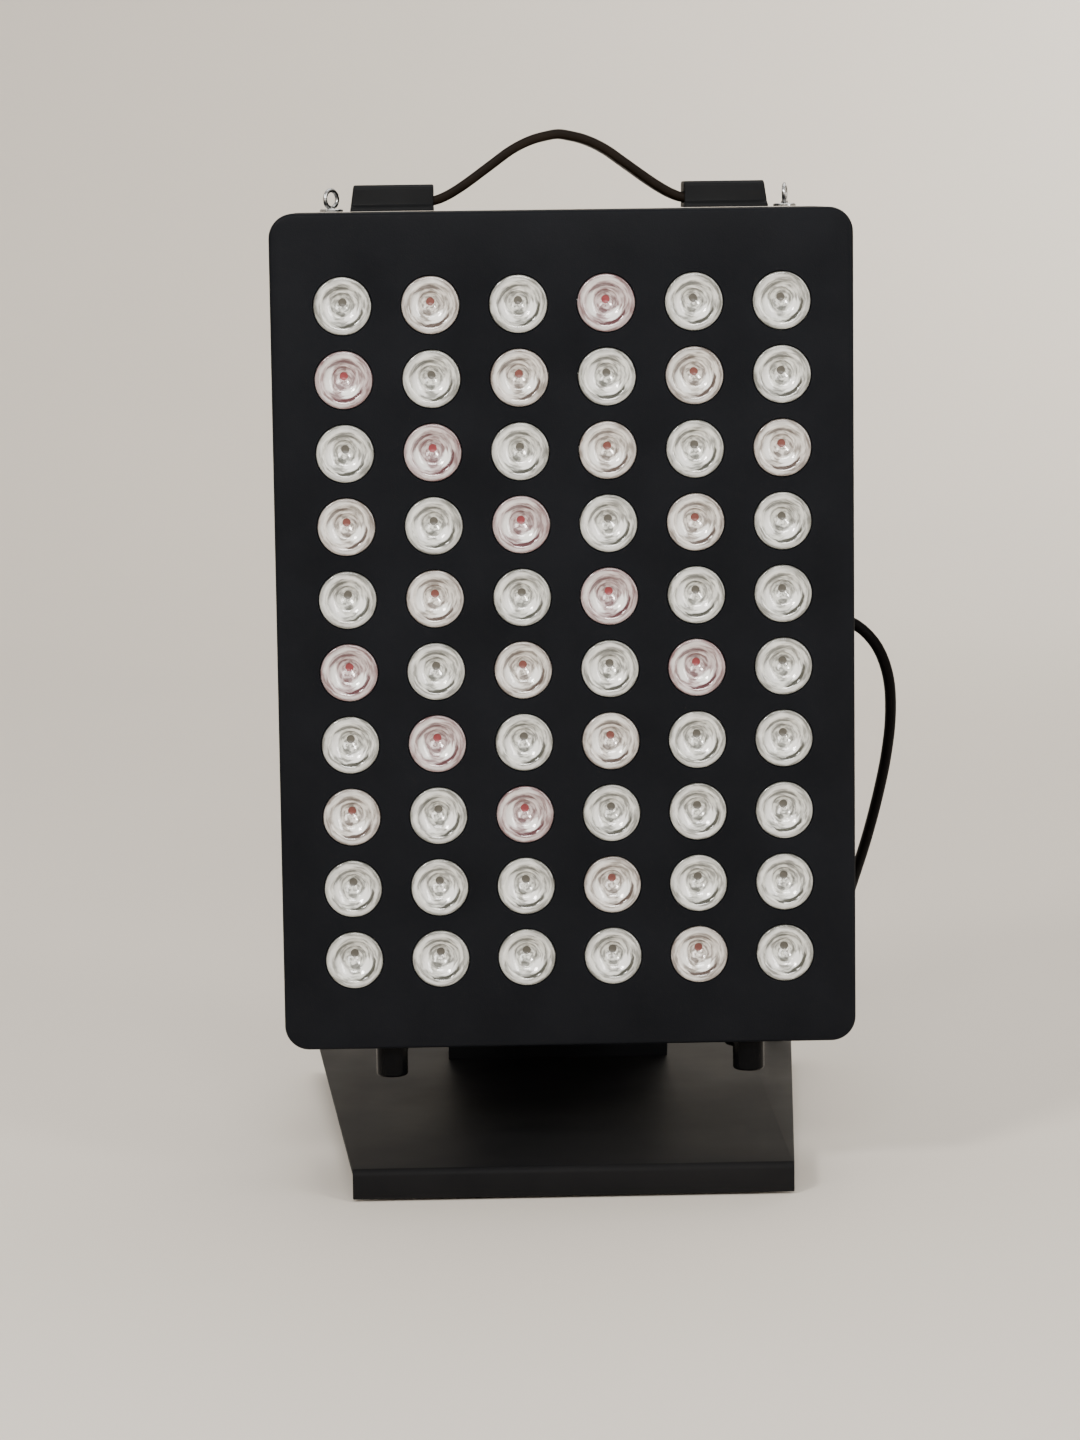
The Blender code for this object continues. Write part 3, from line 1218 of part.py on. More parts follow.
def lead_route():
    """The stretch that hangs from the inlet plug, and the one on the table behind the base."""
    side = PANEL_WIDTH / 2
    hang = []
    for across, back, height_share in CORD_HANG_ROUTE:
        hang.append(Vector((side + across, HINGE.y + back, HINGE.z * height_share)))
    return hang + behind_base(CORD_FLOOR_ROUTE)


def add_cord(name, route, bevel_resolution):
    """A round tube along points, with closed ends."""
    curve = bpy.data.curves.new(name, "CURVE")
    curve.dimensions = "3D"
    curve.bevel_depth = CORD_DIAMETER / 2
    curve.bevel_resolution = bevel_resolution
    curve.use_fill_caps = True
    spline = curve.splines.new("POLY")
    spline.points.add(len(route) - 1)
    for point, place in zip(spline.points, route):
        point.co = (*place, 1)
    curve.materials.append(cord_sheath)
    thing = bpy.data.objects.new(name, curve)
    parts.objects.link(thing)
    return sum((second - first).length for first, second in zip(route, route[1:]))


def make_coil_tie():
    """Flat band round the side of the coil where every strand lies level."""
    inner = COIL_CENTRE[0] + COIL_INNER_RADIUS - CORD_DIAMETER / 2 - TIE_SLACK
    outer = COIL_CENTRE[0] + COIL_OUTER_RADIUS + CORD_DIAMETER / 2 + TIE_SLACK
    top = CORD_FLOOR + COIL_STEP + CORD_DIAMETER / 2 + GAP
    width = outer - inner
    height = top - TIE_THICKNESS
    loops = []
    for wall in (TIE_THICKNESS, 0):
        loops.append(rounded_rectangle(width + 2 * wall, height + 2 * wall, TIE_THICKNESS + wall, 2))
    band = outline("coil_tie", loops, TIE_WIDTH, "XZ")
    place = ((inner + outer) / 2, COIL_CENTRE[1], (top + TIE_THICKNESS) / 2)
    add_part("coil_tie", band, place, black_plastic, None)


def make_mains_plug():
    """Flat two-blade plug beside the coil, where the tail ends."""
    start = behind_base(CORD_TAIL_ROUTE)[-1]
    height = start.z
    relief_y = start.y - GAP - MAINS_RELIEF_LENGTH / 2
    body_y = relief_y - (MAINS_RELIEF_LENGTH + MAINS_PLUG_LENGTH) / 2
    size = (MAINS_PLUG_WIDTH, MAINS_PLUG_LENGTH, MAINS_PLUG_HEIGHT)
    body = block("mains_plug", size, MAINS_PLUG_CORNER, segments=3)
    plug = add_part("mains_plug", body, (start.x, body_y, height), black_plastic, None)
    relief_length = MAINS_RELIEF_LENGTH + SINK
    relief = rod("relief", RELIEF_ROOT_DIAMETER, relief_length, "Y", tip_diameter=RELIEF_TIP_DIAMETER)
    combine(plug, "UNION", relief, (start.x, relief_y - SINK / 2, height), "relief")
    blade = block("blade", (BLADE_PAIR_THICKNESS, BLADE_PAIR_LENGTH + SINK, BLADE_PAIR_WIDTH))
    blades = gather("blades", [(blade, shift(sign * BLADE_PAIR_SPACING / 2)) for sign in (-1, 1)])
    blade_y = body_y - MAINS_PLUG_LENGTH / 2 - (BLADE_PAIR_LENGTH - SINK) / 2
    combine(plug, "UNION", blades, (start.x, blade_y, height), "blades")


def make_cord():
    """The whole mains lead, from the inlet plug to the mains plug."""
    coil = coil_route()
    lengths = {
        "lead": add_cord("cord_lead", smooth_route(lead_route(), CORD_POINT_SPACING), 2),
        "coil": add_cord("cord_coil", coil, 1),
        "tail": add_cord("cord_tail", smooth_route(behind_base(CORD_TAIL_ROUTE), CORD_POINT_SPACING), 2),
    }
    make_coil_tie()
    make_mains_plug()
    print("cord lengths", {name: round(length, 4) for name, length in lengths.items()},
          "in all", round(sum(lengths.values()), 4))
    print("least gap in the coil", round(least_coil_gap(coil), 5))


make_front_shell()
make_rear_cover()
make_lens_rows()
make_led_board()
make_heat_sink()
make_standoffs()
make_drivers()
make_fans()
make_handle()
make_hanging_eyes()
make_rubber_feet()
make_power_inlet()
make_inlet_plug()
make_switches()
make_tilt_bracket()
foot_middle = make_neck()
make_tilt_bolt_and_knob()
make_base(foot_middle)
make_base_pads()
make_screws(foot_middle)
make_cord()
print("hinge", [round(value, 4) for value in HINGE], "lean", round(math.degrees(neck_lean()), 2))
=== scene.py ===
import math

import bmesh
import bpy
from mathutils import Matrix, Vector


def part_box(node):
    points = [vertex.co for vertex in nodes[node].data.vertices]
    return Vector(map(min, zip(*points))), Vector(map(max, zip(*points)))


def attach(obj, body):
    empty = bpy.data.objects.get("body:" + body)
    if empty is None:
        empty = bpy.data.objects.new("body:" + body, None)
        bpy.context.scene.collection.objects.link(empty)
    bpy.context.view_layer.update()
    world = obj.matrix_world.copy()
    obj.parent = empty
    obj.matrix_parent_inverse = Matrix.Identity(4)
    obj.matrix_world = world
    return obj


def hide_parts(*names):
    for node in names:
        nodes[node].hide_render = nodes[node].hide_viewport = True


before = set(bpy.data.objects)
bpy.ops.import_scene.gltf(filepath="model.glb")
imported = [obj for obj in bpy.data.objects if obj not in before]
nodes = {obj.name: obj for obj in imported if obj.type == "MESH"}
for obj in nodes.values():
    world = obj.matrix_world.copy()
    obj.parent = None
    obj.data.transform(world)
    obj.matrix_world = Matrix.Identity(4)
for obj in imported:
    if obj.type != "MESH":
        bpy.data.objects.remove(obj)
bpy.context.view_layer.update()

# Camera, fitted to the photograph
viewpoint = {
    "place": (-0.0461, -1.5825, 0.3662), "pitchDown": 7.345, "yawRight": 1.4, "roll": -0.751,
    "lens": 102.5, "sensor": 36, "nearest": 0.01,
}


def show(name, data):
    made = bpy.data.objects.new(name, data)
    bpy.context.scene.collection.objects.link(made)
    return made


def setCamera(look):
    pitch, yaw, roll = (math.radians(look[key]) for key in ("pitchDown", "yawRight", "roll"))
    ahead = Vector((math.sin(yaw) * math.cos(pitch), math.cos(yaw) * math.cos(pitch), -math.sin(pitch)))
    level = Vector((math.cos(yaw), -math.sin(yaw), 0))
    above = level.cross(ahead)
    right = level * math.cos(roll) + above * math.sin(roll)
    up = above * math.cos(roll) - level * math.sin(roll)
    camera = show("camera", bpy.data.cameras.new("camera"))
    camera.data.lens = look["lens"]
    camera.data.sensor_width = look["sensor"]
    camera.data.clip_start = look["nearest"]
    turn = Matrix((right, up, -ahead)).transposed().to_4x4()
    camera.matrix_world = Matrix.Translation(look["place"]) @ turn
    bpy.context.scene.camera = camera


setCamera(viewpoint)
print("camera set")

# Materials: one look dictionary each, mottled and grained by noise
noise = {"low": 0.3, "high": 0.7, "mottleDetail": 4, "grainDetail": 2}


def noiseNode(tree, place, scale, detail):
    node = tree.nodes.new("ShaderNodeTexNoise")
    node.inputs["Scale"].default_value = scale
    node.inputs["Detail"].default_value = detail
    tree.links.new(place, node.inputs["Vector"])
    return node


def rangeNode(tree, value, low, high, span=(0, 1), kind="LINEAR"):
    node = tree.nodes.new("ShaderNodeMapRange")
    node.interpolation_type = kind
    for socket, level in zip(("From Min", "From Max", "To Min", "To Max"), (low, high, *span)):
        node.inputs[socket].default_value = level
    tree.links.new(value, node.inputs["Value"])
    return node.outputs["Result"]


def makeMaterial(name, look):
    material = bpy.data.materials.new(name)
    material.use_nodes = True
    tree = material.node_tree
    shader = tree.nodes["Principled BSDF"]
    shader.inputs["Metallic"].default_value = look.get("metallic", 0)
    shader.inputs["Coat Weight"].default_value = look.get("coat", 0)
    shader.inputs["Coat Roughness"].default_value = look.get("coatRoughness", 0.05)
    shader.inputs["Specular IOR Level"].default_value = look.get("specular", 0.5)
    where = tree.nodes.new("ShaderNodeTexCoord")
    where.name = "where"
    stretch = tree.nodes.new("ShaderNodeMapping")
    stretch.inputs["Scale"].default_value = look.get("stretch", (1, 1, 1))
    tree.links.new(where.outputs["Object"], stretch.inputs["Vector"])
    mottle = noiseNode(tree, stretch.outputs["Vector"], look["mottle"], noise["mottleDetail"])
    mottle.name = "mottle"  # broad variation of colour and gloss
    tones = tree.nodes.new("ShaderNodeValToRGB")
    for end, level, colour in zip(tones.color_ramp.elements, ("low", "high"), ("dark", "light")):
        end.position = noise[level]
        end.color = (*look[colour], 1)
    tree.links.new(mottle.outputs["Fac"], tones.inputs["Fac"])
    tree.links.new(tones.outputs["Color"], shader.inputs["Base Color"])
    gloss = rangeNode(tree, mottle.outputs["Fac"], noise["low"], noise["high"], look["rough"])
    tree.links.new(gloss, shader.inputs["Roughness"])
    if "grain" in look:
        grain = noiseNode(tree, stretch.outputs["Vector"], look["grain"], noise["grainDetail"])
        relief = tree.nodes.new("ShaderNodeBump")
        relief.inputs["Strength"].default_value = look["relief"]
        relief.inputs["Distance"].default_value = look["depth"]
        tree.links.new(grain.outputs["Fac"], relief.inputs["Height"])
        tree.links.new(relief.outputs["Normal"], shader.inputs["Normal"])
    return material


powderCoat = makeMaterial("powderCoat", {
    "dark": (0.0040, 0.0045, 0.0059), "light": (0.0058, 0.0064, 0.0082), "rough": (0.42, 0.50),
    "mottle": 35, "grain": 2200, "relief": 0.35, "depth": 0.00012, "specular": 0.056})
rearCoat = makeMaterial("rearCoat", {
    "dark": (0.0072, 0.0076, 0.0092), "light": (0.0104, 0.0108, 0.0128), "rough": (0.45, 0.55),
    "mottle": 28, "grain": 2200, "relief": 0.4, "depth": 0.00012, "specular": 0.32})
baseEnamel = makeMaterial("baseEnamel", {
    "dark": (0.0068, 0.0068, 0.0074), "light": (0.0100, 0.0098, 0.0102), "rough": (0.46, 0.56),
    "mottle": 22, "grain": 1500, "relief": 0.12, "depth": 0.0001, "specular": 0.036})
satinPlastic = makeMaterial("satinPlastic", {
    "dark": (0.0042, 0.0045, 0.0050), "light": (0.0067, 0.0070, 0.0077), "rough": (0.44, 0.54),
    "mottle": 60, "grain": 3200, "relief": 0.25, "depth": 0.00008, "specular": 0.08})
bladePlastic = makeMaterial("bladePlastic", {
    "dark": (0.0104, 0.0104, 0.0112), "light": (0.0152, 0.0152, 0.0160), "rough": (0.28, 0.38),
    "mottle": 80, "grain": 2600, "relief": 0.15, "depth": 0.00008, "specular": 0.4})
glossRubber = makeMaterial("glossRubber", {
    "dark": (0.0013, 0.0014, 0.0018), "light": (0.0021, 0.0022, 0.0026), "rough": (0.14, 0.20),
    "mottle": 120, "grain": 1200, "relief": 0.06, "depth": 0.00008, "specular": 0.048})
strapRubber = makeMaterial("strapRubber", {
    "dark": (0.0054, 0.0034, 0.0019), "light": (0.0100, 0.0064, 0.0040), "rough": (0.44, 0.56),
    "mottle": 90, "grain": 2400, "relief": 0.3, "depth": 0.0001, "stretch": (1, 0.3, 1), "specular": 0.064})
cordSheath = makeMaterial("cordSheath", {
    "dark": (0.0022, 0.0019, 0.0021), "light": (0.0040, 0.0034, 0.0035), "rough": (0.40, 0.52),
    "mottle": 70, "grain": 2600, "relief": 0.2, "depth": 0.00008, "specular": 0.03})
zincSteel = makeMaterial("zincSteel", {
    "dark": (0.336, 0.336, 0.328), "light": (0.464, 0.456, 0.440), "rough": (0.24, 0.38), "metallic": 1,
    "mottle": 240, "grain": 2600, "relief": 0.12, "depth": 0.00005})
eyeChrome = makeMaterial("eyeChrome", {
    "dark": (0.400, 0.400, 0.400), "light": (0.512, 0.512, 0.504), "rough": (0.20, 0.30), "metallic": 1,
    "mottle": 300, "grain": 2000, "relief": 0.05, "depth": 0.00004})
sinkAluminium = makeMaterial("sinkAluminium", {
    "dark": (0.416, 0.424, 0.432), "light": (0.528, 0.536, 0.544), "rough": (0.30, 0.42), "metallic": 1,
    "mottle": 160, "grain": 1800, "relief": 0.2, "depth": 0.00006, "stretch": (6, 6, 0.25)})
solderMask = makeMaterial("solderMask", {
    "dark": (0.544, 0.544, 0.520), "light": (0.624, 0.624, 0.600), "rough": (0.36, 0.46),
    "mottle": 60, "grain": 2600, "relief": 0.1, "depth": 0.00005})
driverCase = makeMaterial("driverCase", {
    "dark": (0.496, 0.504, 0.512), "light": (0.576, 0.584, 0.592), "rough": (0.40, 0.52),
    "mottle": 50, "grain": 2400, "relief": 0.2, "depth": 0.00008})
bladeNickel = makeMaterial("bladeNickel", {
    "dark": (0.480, 0.464, 0.416), "light": (0.592, 0.568, 0.512), "rough": (0.18, 0.30), "metallic": 1,
    "mottle": 320, "grain": 2400, "relief": 0.08, "depth": 0.00004, "stretch": (6, 0.4, 6)})

# Lens plastic: palest and greyest streaks, the painted shade of the arcs and rim, and the emitter behind
lensTints = {
    "Clear": {"pale": (0.74, 0.74, 0.69), "grey": (0.25, 0.25, 0.230), "paintedShade": (0.050, 0.050, 0.040),
              "die": (0.085, 0.078, 0.064)},
    "Warm": {"pale": (0.74, 0.70, 0.65), "grey": (0.26, 0.235, 0.210), "paintedShade": (0.070, 0.048, 0.040),
             "die": (0.16, 0.045, 0.035)},
    "Rosy": {"pale": (0.60, 0.515, 0.51), "grey": (0.24, 0.165, 0.165), "paintedShade": (0.080, 0.026, 0.030),
             "die": (0.23, 0.032, 0.038)},
}
# colour of the painted highlights in the lens arcs
lensPaintedHighlight = (0.95, 0.95, 0.93)
lensSurface = {
    "rough": (0.10, 0.20), "grain": 700, "relief": 0.10, "depth": 0.0001, "coat": 1.0, "coatRoughness": 0.10,
}
dieSurface = {"rough": (0.3, 0.4), "mottle": 900}
dieShade = 0.8
# rimFrom, rimTo and the rim tone set painted shade that darkens each lens towards its rim
lensStreaks = {
    "rings": 7.5, "round": 0.85, "scale": 1.5, "perLens": 28.0, "pale": 0.59, "grey": 0.40,
    "ripple": 2.4, "waver": 0.16, "arcEdge": 0.6, "rimFrom": 0.72, "rimTo": 1.00, "rimPaintedShade": 0.60,
}
lensPaintedArcs = (  # painted shade (tone below zero) and painted highlights (tone above zero) inside a lens: radius and width as shares of its radius, where round it, and tone
    {"radius": 0.640, "width": 0.085, "angle": 128, "spread": 88, "tone": -0.85},
    {"radius": 0.715, "width": 0.085, "angle": -58, "spread": 66, "tone": -1.00},
    {"radius": 0.435, "width": 0.065, "angle": 140, "spread": 80, "tone": -0.50},
    {"radius": 0.330, "width": 0.055, "angle": 15, "spread": 70, "tone": -0.50},
    # a painted reflection of the emitter, below the middle
    {"radius": 0.290, "width": 0.100, "angle": -100, "spread": 46, "tone": -0.70},
    {"radius": 0.470, "width": 0.150, "angle": -46, "spread": 52, "tone": 1.00},
    {"radius": 0.610, "width": 0.065, "angle": -40, "spread": 52, "tone": 1.00},
    {"radius": 0.560, "width": 0.190, "angle": 193, "spread": 66, "tone": 0.75},
    {"radius": 0.850, "width": 0.110, "angle": 130, "spread": 90, "tone": 0.50},
    {"radius": 0.880, "width": 0.070, "angle": -95, "spread": 60, "tone": 0.60},
    {"radius": 0.900, "width": 0.050, "angle": 20, "spread": 70, "tone": -0.25},
)


def feed(tree, sockets, values):
    for socket, value in zip(sockets, values):
        if isinstance(value, bpy.types.NodeSocket):
            tree.links.new(value, socket)
        else:
            socket.default_value = value


def mathNode(tree, operation, *values):
    node = tree.nodes.new("ShaderNodeMath")
    node.operation = operation
    feed(tree, node.inputs, values)
    return node.outputs["Value"]


def vectorNode(tree, operation, *values, result="Vector"):
    node = tree.nodes.new("ShaderNodeVectorMath")
    node.operation = operation
    feed(tree, node.inputs, values)
    return node.outputs[result]


def mixColour(tree, share, colour, tone):
    node = tree.nodes.new("ShaderNodeMix")
    node.data_type = "RGBA"
    tree.links.new(share, node.inputs["Factor"])
    feed(tree, [socket for socket in node.inputs if socket.type == "RGBA"], (colour, (*tone, 1)))
    return next(socket for socket in node.outputs if socket.type == "RGBA")


def smoothStep(tree, value, low, high):
    return rangeNode(tree, value, low, high, kind="SMOOTHSTEP")


def paintedArcMask(tree, place, radius, arc, edge):
    angle = math.radians(arc["angle"])  # a crescent, widest where it faces its angle
    toward = (math.cos(angle), math.sin(angle), 0)
    facing = mathNode(tree, "DIVIDE", vectorNode(tree, "DOT_PRODUCT", place, toward, result="Value"), radius)
    taper = smoothStep(tree, facing, math.cos(math.radians(arc["spread"])), 1)
    reach = mathNode(tree, "MULTIPLY", taper, arc["width"])
    off = mathNode(tree, "ABSOLUTE", mathNode(tree, "SUBTRACT", radius, arc["radius"]))
    mask = smoothStep(tree, mathNode(tree, "SUBTRACT", reach, off), 0, arc["width"] * edge)
    return mathNode(tree, "MULTIPLY", mask, abs(arc["tone"]))


def makeLensPlastic(tint, look, streaks):
    material = makeMaterial(f"lens{tint}", {
        **lensSurface, "dark": look["grey"], "light": look["pale"], "mottle": streaks["scale"]})
    tree = material.node_tree
    baseColour = tree.nodes["Principled BSDF"].inputs["Base Color"]
    spot = tree.nodes.new("ShaderNodeUVMap")
    spot.uv_map = "lensMap"
    ripple = noiseNode(tree, spot.outputs["UV"], streaks["ripple"], noise["grainDetail"])
    waver = streaks["waver"]  # the painted shade and highlight arcs waver a little, as moulded steps do
    offset = (-waver / 2, -waver / 2, 0)
    centred = vectorNode(tree, "MULTIPLY_ADD", ripple.outputs["Color"], (waver, waver, 0), offset)
    place = vectorNode(tree, "ADD", spot.outputs["UV"], centred)
    radius = vectorNode(tree, "LENGTH", place, result="Value")
    split = tree.nodes.new("ShaderNodeSeparateXYZ")
    tree.links.new(vectorNode(tree, "NORMALIZE", place), split.inputs["Vector"])
    polar = tree.nodes.new("ShaderNodeCombineXYZ")  # noise drawn out round the lens
    for socket, value, scale in (("X", radius, "rings"), ("Y", split.outputs["X"], "round"),
                                 ("Z", split.outputs["Y"], "round")):
        tree.links.new(mathNode(tree, "MULTIPLY", value, streaks[scale]), polar.inputs[socket])
    spread = (streaks["perLens"],) * 3
    streaked = vectorNode(tree, "MULTIPLY_ADD", tree.nodes["where"].outputs["Object"], spread,
                          polar.outputs["Vector"])
    tree.links.new(streaked, tree.nodes["mottle"].inputs["Vector"])
    colour = baseColour.links[0].from_socket
    for end, level in zip(colour.node.color_ramp.elements, ("grey", "pale")):
        end.position = streaks[level]
    # each arc mixes in painted shade or a painted highlight
    for arc in lensPaintedArcs:
        tone = look["paintedShade"] if arc["tone"] < 0 else lensPaintedHighlight
        colour = mixColour(tree, paintedArcMask(tree, place, radius, arc, streaks["arcEdge"]), colour, tone)
    rim = smoothStep(tree, radius, streaks["rimFrom"], streaks["rimTo"])  # painted shade, darker towards the rim
    colour = mixColour(tree, mathNode(tree, "MULTIPLY", rim, streaks["rimPaintedShade"]), colour, look["paintedShade"])
    tree.links.new(colour, baseColour)
    return material


def makeDie(tint, look):
    dark = tuple(value * dieShade for value in look["die"])
    return makeMaterial(f"die{tint}", {**dieSurface, "dark": dark, "light": look["die"]})


lensFinishes = {}
for tint, look in lensTints.items():
    lensFinishes[tint] = (makeLensPlastic(tint, look, lensStreaks), makeDie(tint, look))
print("materials made")

# Small helpers for meshes
weld = 0.000005  # points nearer than this are one
onPlane = 0.000001  # a point this near to a plane lies on it
squareOn = 0.9  # a face whose normal has this much of an axis faces that way
axisTurns = {
    "Z": Matrix.Identity(4), "X": Matrix.Rotation(math.pi / 2, 4, "Y"),
    "Y": Matrix.Rotation(-math.pi / 2, 4, "X"), "-Y": Matrix.Rotation(math.pi / 2, 4, "X"),
}


def addMesh(name, bm, materials, sharp=35):
    mesh = bpy.data.meshes.new(name)
    bm.to_mesh(mesh)
    bm.free()
    mesh.shade_smooth()
    mesh.set_sharp_from_angle(angle=math.radians(sharp))
    for material in materials:
        mesh.materials.append(material)
    return show(name, mesh)


def addPiece(name, bm, materials, body, stands, sharp=35):
    piece = addMesh(name, bm, materials, sharp)
    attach(piece, body)
    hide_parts(*stands)
    return piece


def settle(bm, place, axis):
    bmesh.ops.transform(bm, matrix=Matrix.Translation(place) @ axisTurns[axis], verts=bm.verts)
    return bm


def spinProfile(profile, segments, place, axis="Z", closed=False):
    bm = bmesh.new()  # profile points are (radius, height along the axis)
    verts = [bm.verts.new((radius, 0, height)) for radius, height in profile]
    pairs = list(zip(verts, verts[1:]))
    if closed:
        pairs.append((verts[-1], verts[0]))
    edges = [bm.edges.new(pair) for pair in pairs]
    bmesh.ops.spin(bm, geom=verts + edges, cent=(0, 0, 0), axis=(0, 0, 1), angle=2 * math.pi,
                   steps=segments, use_merge=True, use_duplicate=False)
    bmesh.ops.remove_doubles(bm, verts=bm.verts, dist=weld)
    bmesh.ops.recalc_face_normals(bm, faces=bm.faces)
    return settle(bm, place, axis)


def roundEdges(bm, edges, width, segments):
    bmesh.ops.bevel(bm, geom=edges, offset=width, segments=segments, affect="EDGES", profile=0.5, material=-1)


def roundedBox(low, high, radius, segments, along=None):
    bm = bmesh.new()
    low, high = Vector(low), Vector(high)
    size = high - low
    fit = Matrix.Translation((low + high) / 2) @ Matrix.Diagonal((*size, 1))
    bmesh.ops.create_cube(bm, size=1, matrix=fit)
    edges = list(bm.edges)
    if along is not None:
        spans = {edge: abs((edge.verts[1].co - edge.verts[0].co)[along]) for edge in edges}
        edges = [edge for edge in edges if spans[edge] > size[along] / 2]
    roundEdges(bm, edges, radius, segments)
    return bm


def rimAt(bm, y):
    return [edge for edge in bm.edges if all(abs(vert.co.y - y) < onPlane for vert in edge.verts)]


def vertsOf(geometry):
    return [item for item in geometry if isinstance(item, bmesh.types.BMVert)]


def makeBand(bm, thickness):
    ends = [found for found in bm.faces if abs(found.normal.y) > squareOn]
    bmesh.ops.delete(bm, geom=ends, context="FACES_ONLY")
    bmesh.ops.solidify(bm, geom=bm.faces, thickness=thickness)
    return bm


def faceUp(bm):
    if sum(found.normal.z * found.calc_area() for found in bm.faces) < 0:
        bmesh.ops.reverse_faces(bm, faces=bm.faces)


def joinInto(bm, other):
    mesh = bpy.data.meshes.new("joined")
    other.to_mesh(mesh)
    other.free()
    bm.from_mesh(mesh)
    bpy.data.meshes.remove(mesh)
    return bm


def cutAway(bm, cutter):
    holders = []
    for source in (bm, cutter):
        mesh = bpy.data.meshes.new("cutting")
        source.to_mesh(mesh)
        source.free()
        holders.append(show("cutting", mesh))
    change = holders[0].modifiers.new("cut", "BOOLEAN")
    change.object = holders[1]
    change.solver = "EXACT"
    bpy.context.view_layer.update()
    evaluated = holders[0].evaluated_get(bpy.context.evaluated_depsgraph_get())
    result = bpy.data.meshes.new_from_object(evaluated)
    made = bmesh.new()
    made.from_mesh(result)
    for holder in holders:
        mesh = holder.data
        bpy.data.objects.remove(holder)
        bpy.data.meshes.remove(mesh)
    bpy.data.meshes.remove(result)
    return made


def thicken(piece, thickness, offset):
    wall = piece.modifiers.new("wall", "SOLIDIFY")
    wall.thickness = thickness
    wall.offset = offset
    wall.use_even_offset = True


def soften(piece, width, segments, angle):
    bevel = piece.modifiers.new("soften", "BEVEL")
    bevel.width = width
    bevel.segments = segments
    bevel.limit_method = "ANGLE"
    bevel.angle_limit = math.radians(angle)


def middleOf(node):
    low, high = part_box(node)
    return (low + high) / 2


def seatOf(node, height):
    middle = middleOf(node)
    return Vector((middle.x, middle.y, height))


# Mains lead: lead, coil and tail in one length
lead = {
    "diameter": 0.0044,
    "roundness": 5,
    "spacing": 0.004,
    "leadPoints": (
        (0.0974, -0.0170, 0.2030), (0.1022, -0.0170, 0.2030), (0.1080, -0.0170, 0.2022),
        (0.1142, -0.0170, 0.1993), (0.1190, -0.0168, 0.1952), (0.1226, -0.0158, 0.1904),
        (0.1255, -0.0136, 0.1842), (0.1280, -0.0088, 0.1750), (0.1293, 0.0005, 0.1600),
        (0.1288, 0.0125, 0.1435), (0.1271, 0.0255, 0.1268), (0.1245, 0.0395, 0.1090),
        (0.1212, 0.0565, 0.0902), (0.1160, 0.0805, 0.0640), (0.1080, 0.1045, 0.0375),
        (0.0955, 0.1195, 0.0168), (0.0775, 0.1223, 0.0062), (0.0560, 0.1217, 0.0034),
        (0.0300, 0.1214, 0.0033), (0.0045, 0.1214, 0.0033)),
    "tailPoints": (
        (0.0047, 0.1896, 0.0082), (0.0100, 0.1901, 0.0081), (0.0184, 0.1930, 0.0075),
        (0.0289, 0.2024, 0.0054), (0.0395, 0.2117, 0.0033), (0.0532, 0.2151, 0.0026),
        (0.0631, 0.2124, 0.0028), (0.0703, 0.2052, 0.0042), (0.0730, 0.1953, 0.0064),
        (0.0730, 0.1913, 0.0070)),
    "coilMiddle": (0.0, 0.1555),
    "coilInner": 0.0180,
    "coilStep": 0.0049,
    "coilTurns": 6.5,
    "coilFloor": 0.0033,
    "pointsPerTurn": 48,
}


def smoothRoute(points, spacing):
    knots = [Vector(point) for point in points]
    knots = [2 * knots[0] - knots[1]] + knots + [2 * knots[-1] - knots[-2]]
    route = []
    for before, start, end, after in zip(knots, knots[1:], knots[2:], knots[3:]):
        spans = (start - before, end - start, after - end)
        first, second, third = (math.sqrt(span.length) for span in spans)
        leave = (spans[0] / first - (end - before) / (first + second) + spans[1] / second) * second
        arrive = (spans[1] / second - (after - start) / (second + third) + spans[2] / third) * second
        steps = max(1, round(spans[1].length / spacing))
        for step in range(steps):
            t = step / steps
            route.append(start * (2 * t**3 - 3 * t**2 + 1) + leave * (t**3 - 2 * t**2 + t)
                         + end * (3 * t**2 - 2 * t**3) + arrive * (t**3 - t**2))
    route.append(knots[-2])
    return route


def coilRoute(look):
    middle = math.pi * look["coilTurns"]  # in to the inner turn, then out again a layer up
    steps = round(look["coilTurns"] * look["pointsPerTurn"])
    route = []
    for step in range(steps + 1):
        turn = 2 * math.pi * step / look["pointsPerTurn"]
        radius = look["coilInner"] + look["coilStep"] * abs(turn - middle) / (2 * math.pi)
        climb = min(max((turn - middle) / math.pi + 0.5, 0), 1)
        height = look["coilFloor"] + look["coilStep"] * climb * climb * (3 - 2 * climb)
        angle = -math.pi / 2 - turn
        route.append(Vector((look["coilMiddle"][0] + radius * math.cos(angle),
                             look["coilMiddle"][1] + radius * math.sin(angle), height)))
    return route


leadRoute = smoothRoute(lead["leadPoints"], lead["spacing"])
tailRoute = smoothRoute(lead["tailPoints"], lead["spacing"])
wholeRoute = leadRoute + coilRoute(lead) + tailRoute
cordCurve = bpy.data.curves.new("mainsLead", "CURVE")
cordCurve.dimensions = "3D"
cordCurve.bevel_depth = lead["diameter"] / 2
cordCurve.bevel_resolution = lead["roundness"]
cordCurve.use_fill_caps = True
spline = cordCurve.splines.new("POLY")
spline.points.add(len(wholeRoute) - 1)
for point, place in zip(spline.points, wholeRoute):
    point.co = (*place, 1)
spline.use_smooth = True
cordCurve.materials.append(cordSheath)
mainsLead = show("mainsLead", cordCurve)
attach(mainsLead, "stand")
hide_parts("cord_lead", "cord_coil", "cord_tail")
cordLength = sum((b - a).length for a, b in zip(wholeRoute, wholeRoute[1:]))
print("cord length", round(cordLength, 4))

# Strain reliefs: a tapered sleeve whose ring grooves are (share of a ring, share of the groove's depth)
relief = {
    "root": 0.00475, "tip": 0.0031, "rings": 6, "groove": 0.0004, "segments": 32,
    "steps": ((0, 0), (0.60, 0), (0.68, 1), (0.92, 1), (1, 0)),
}


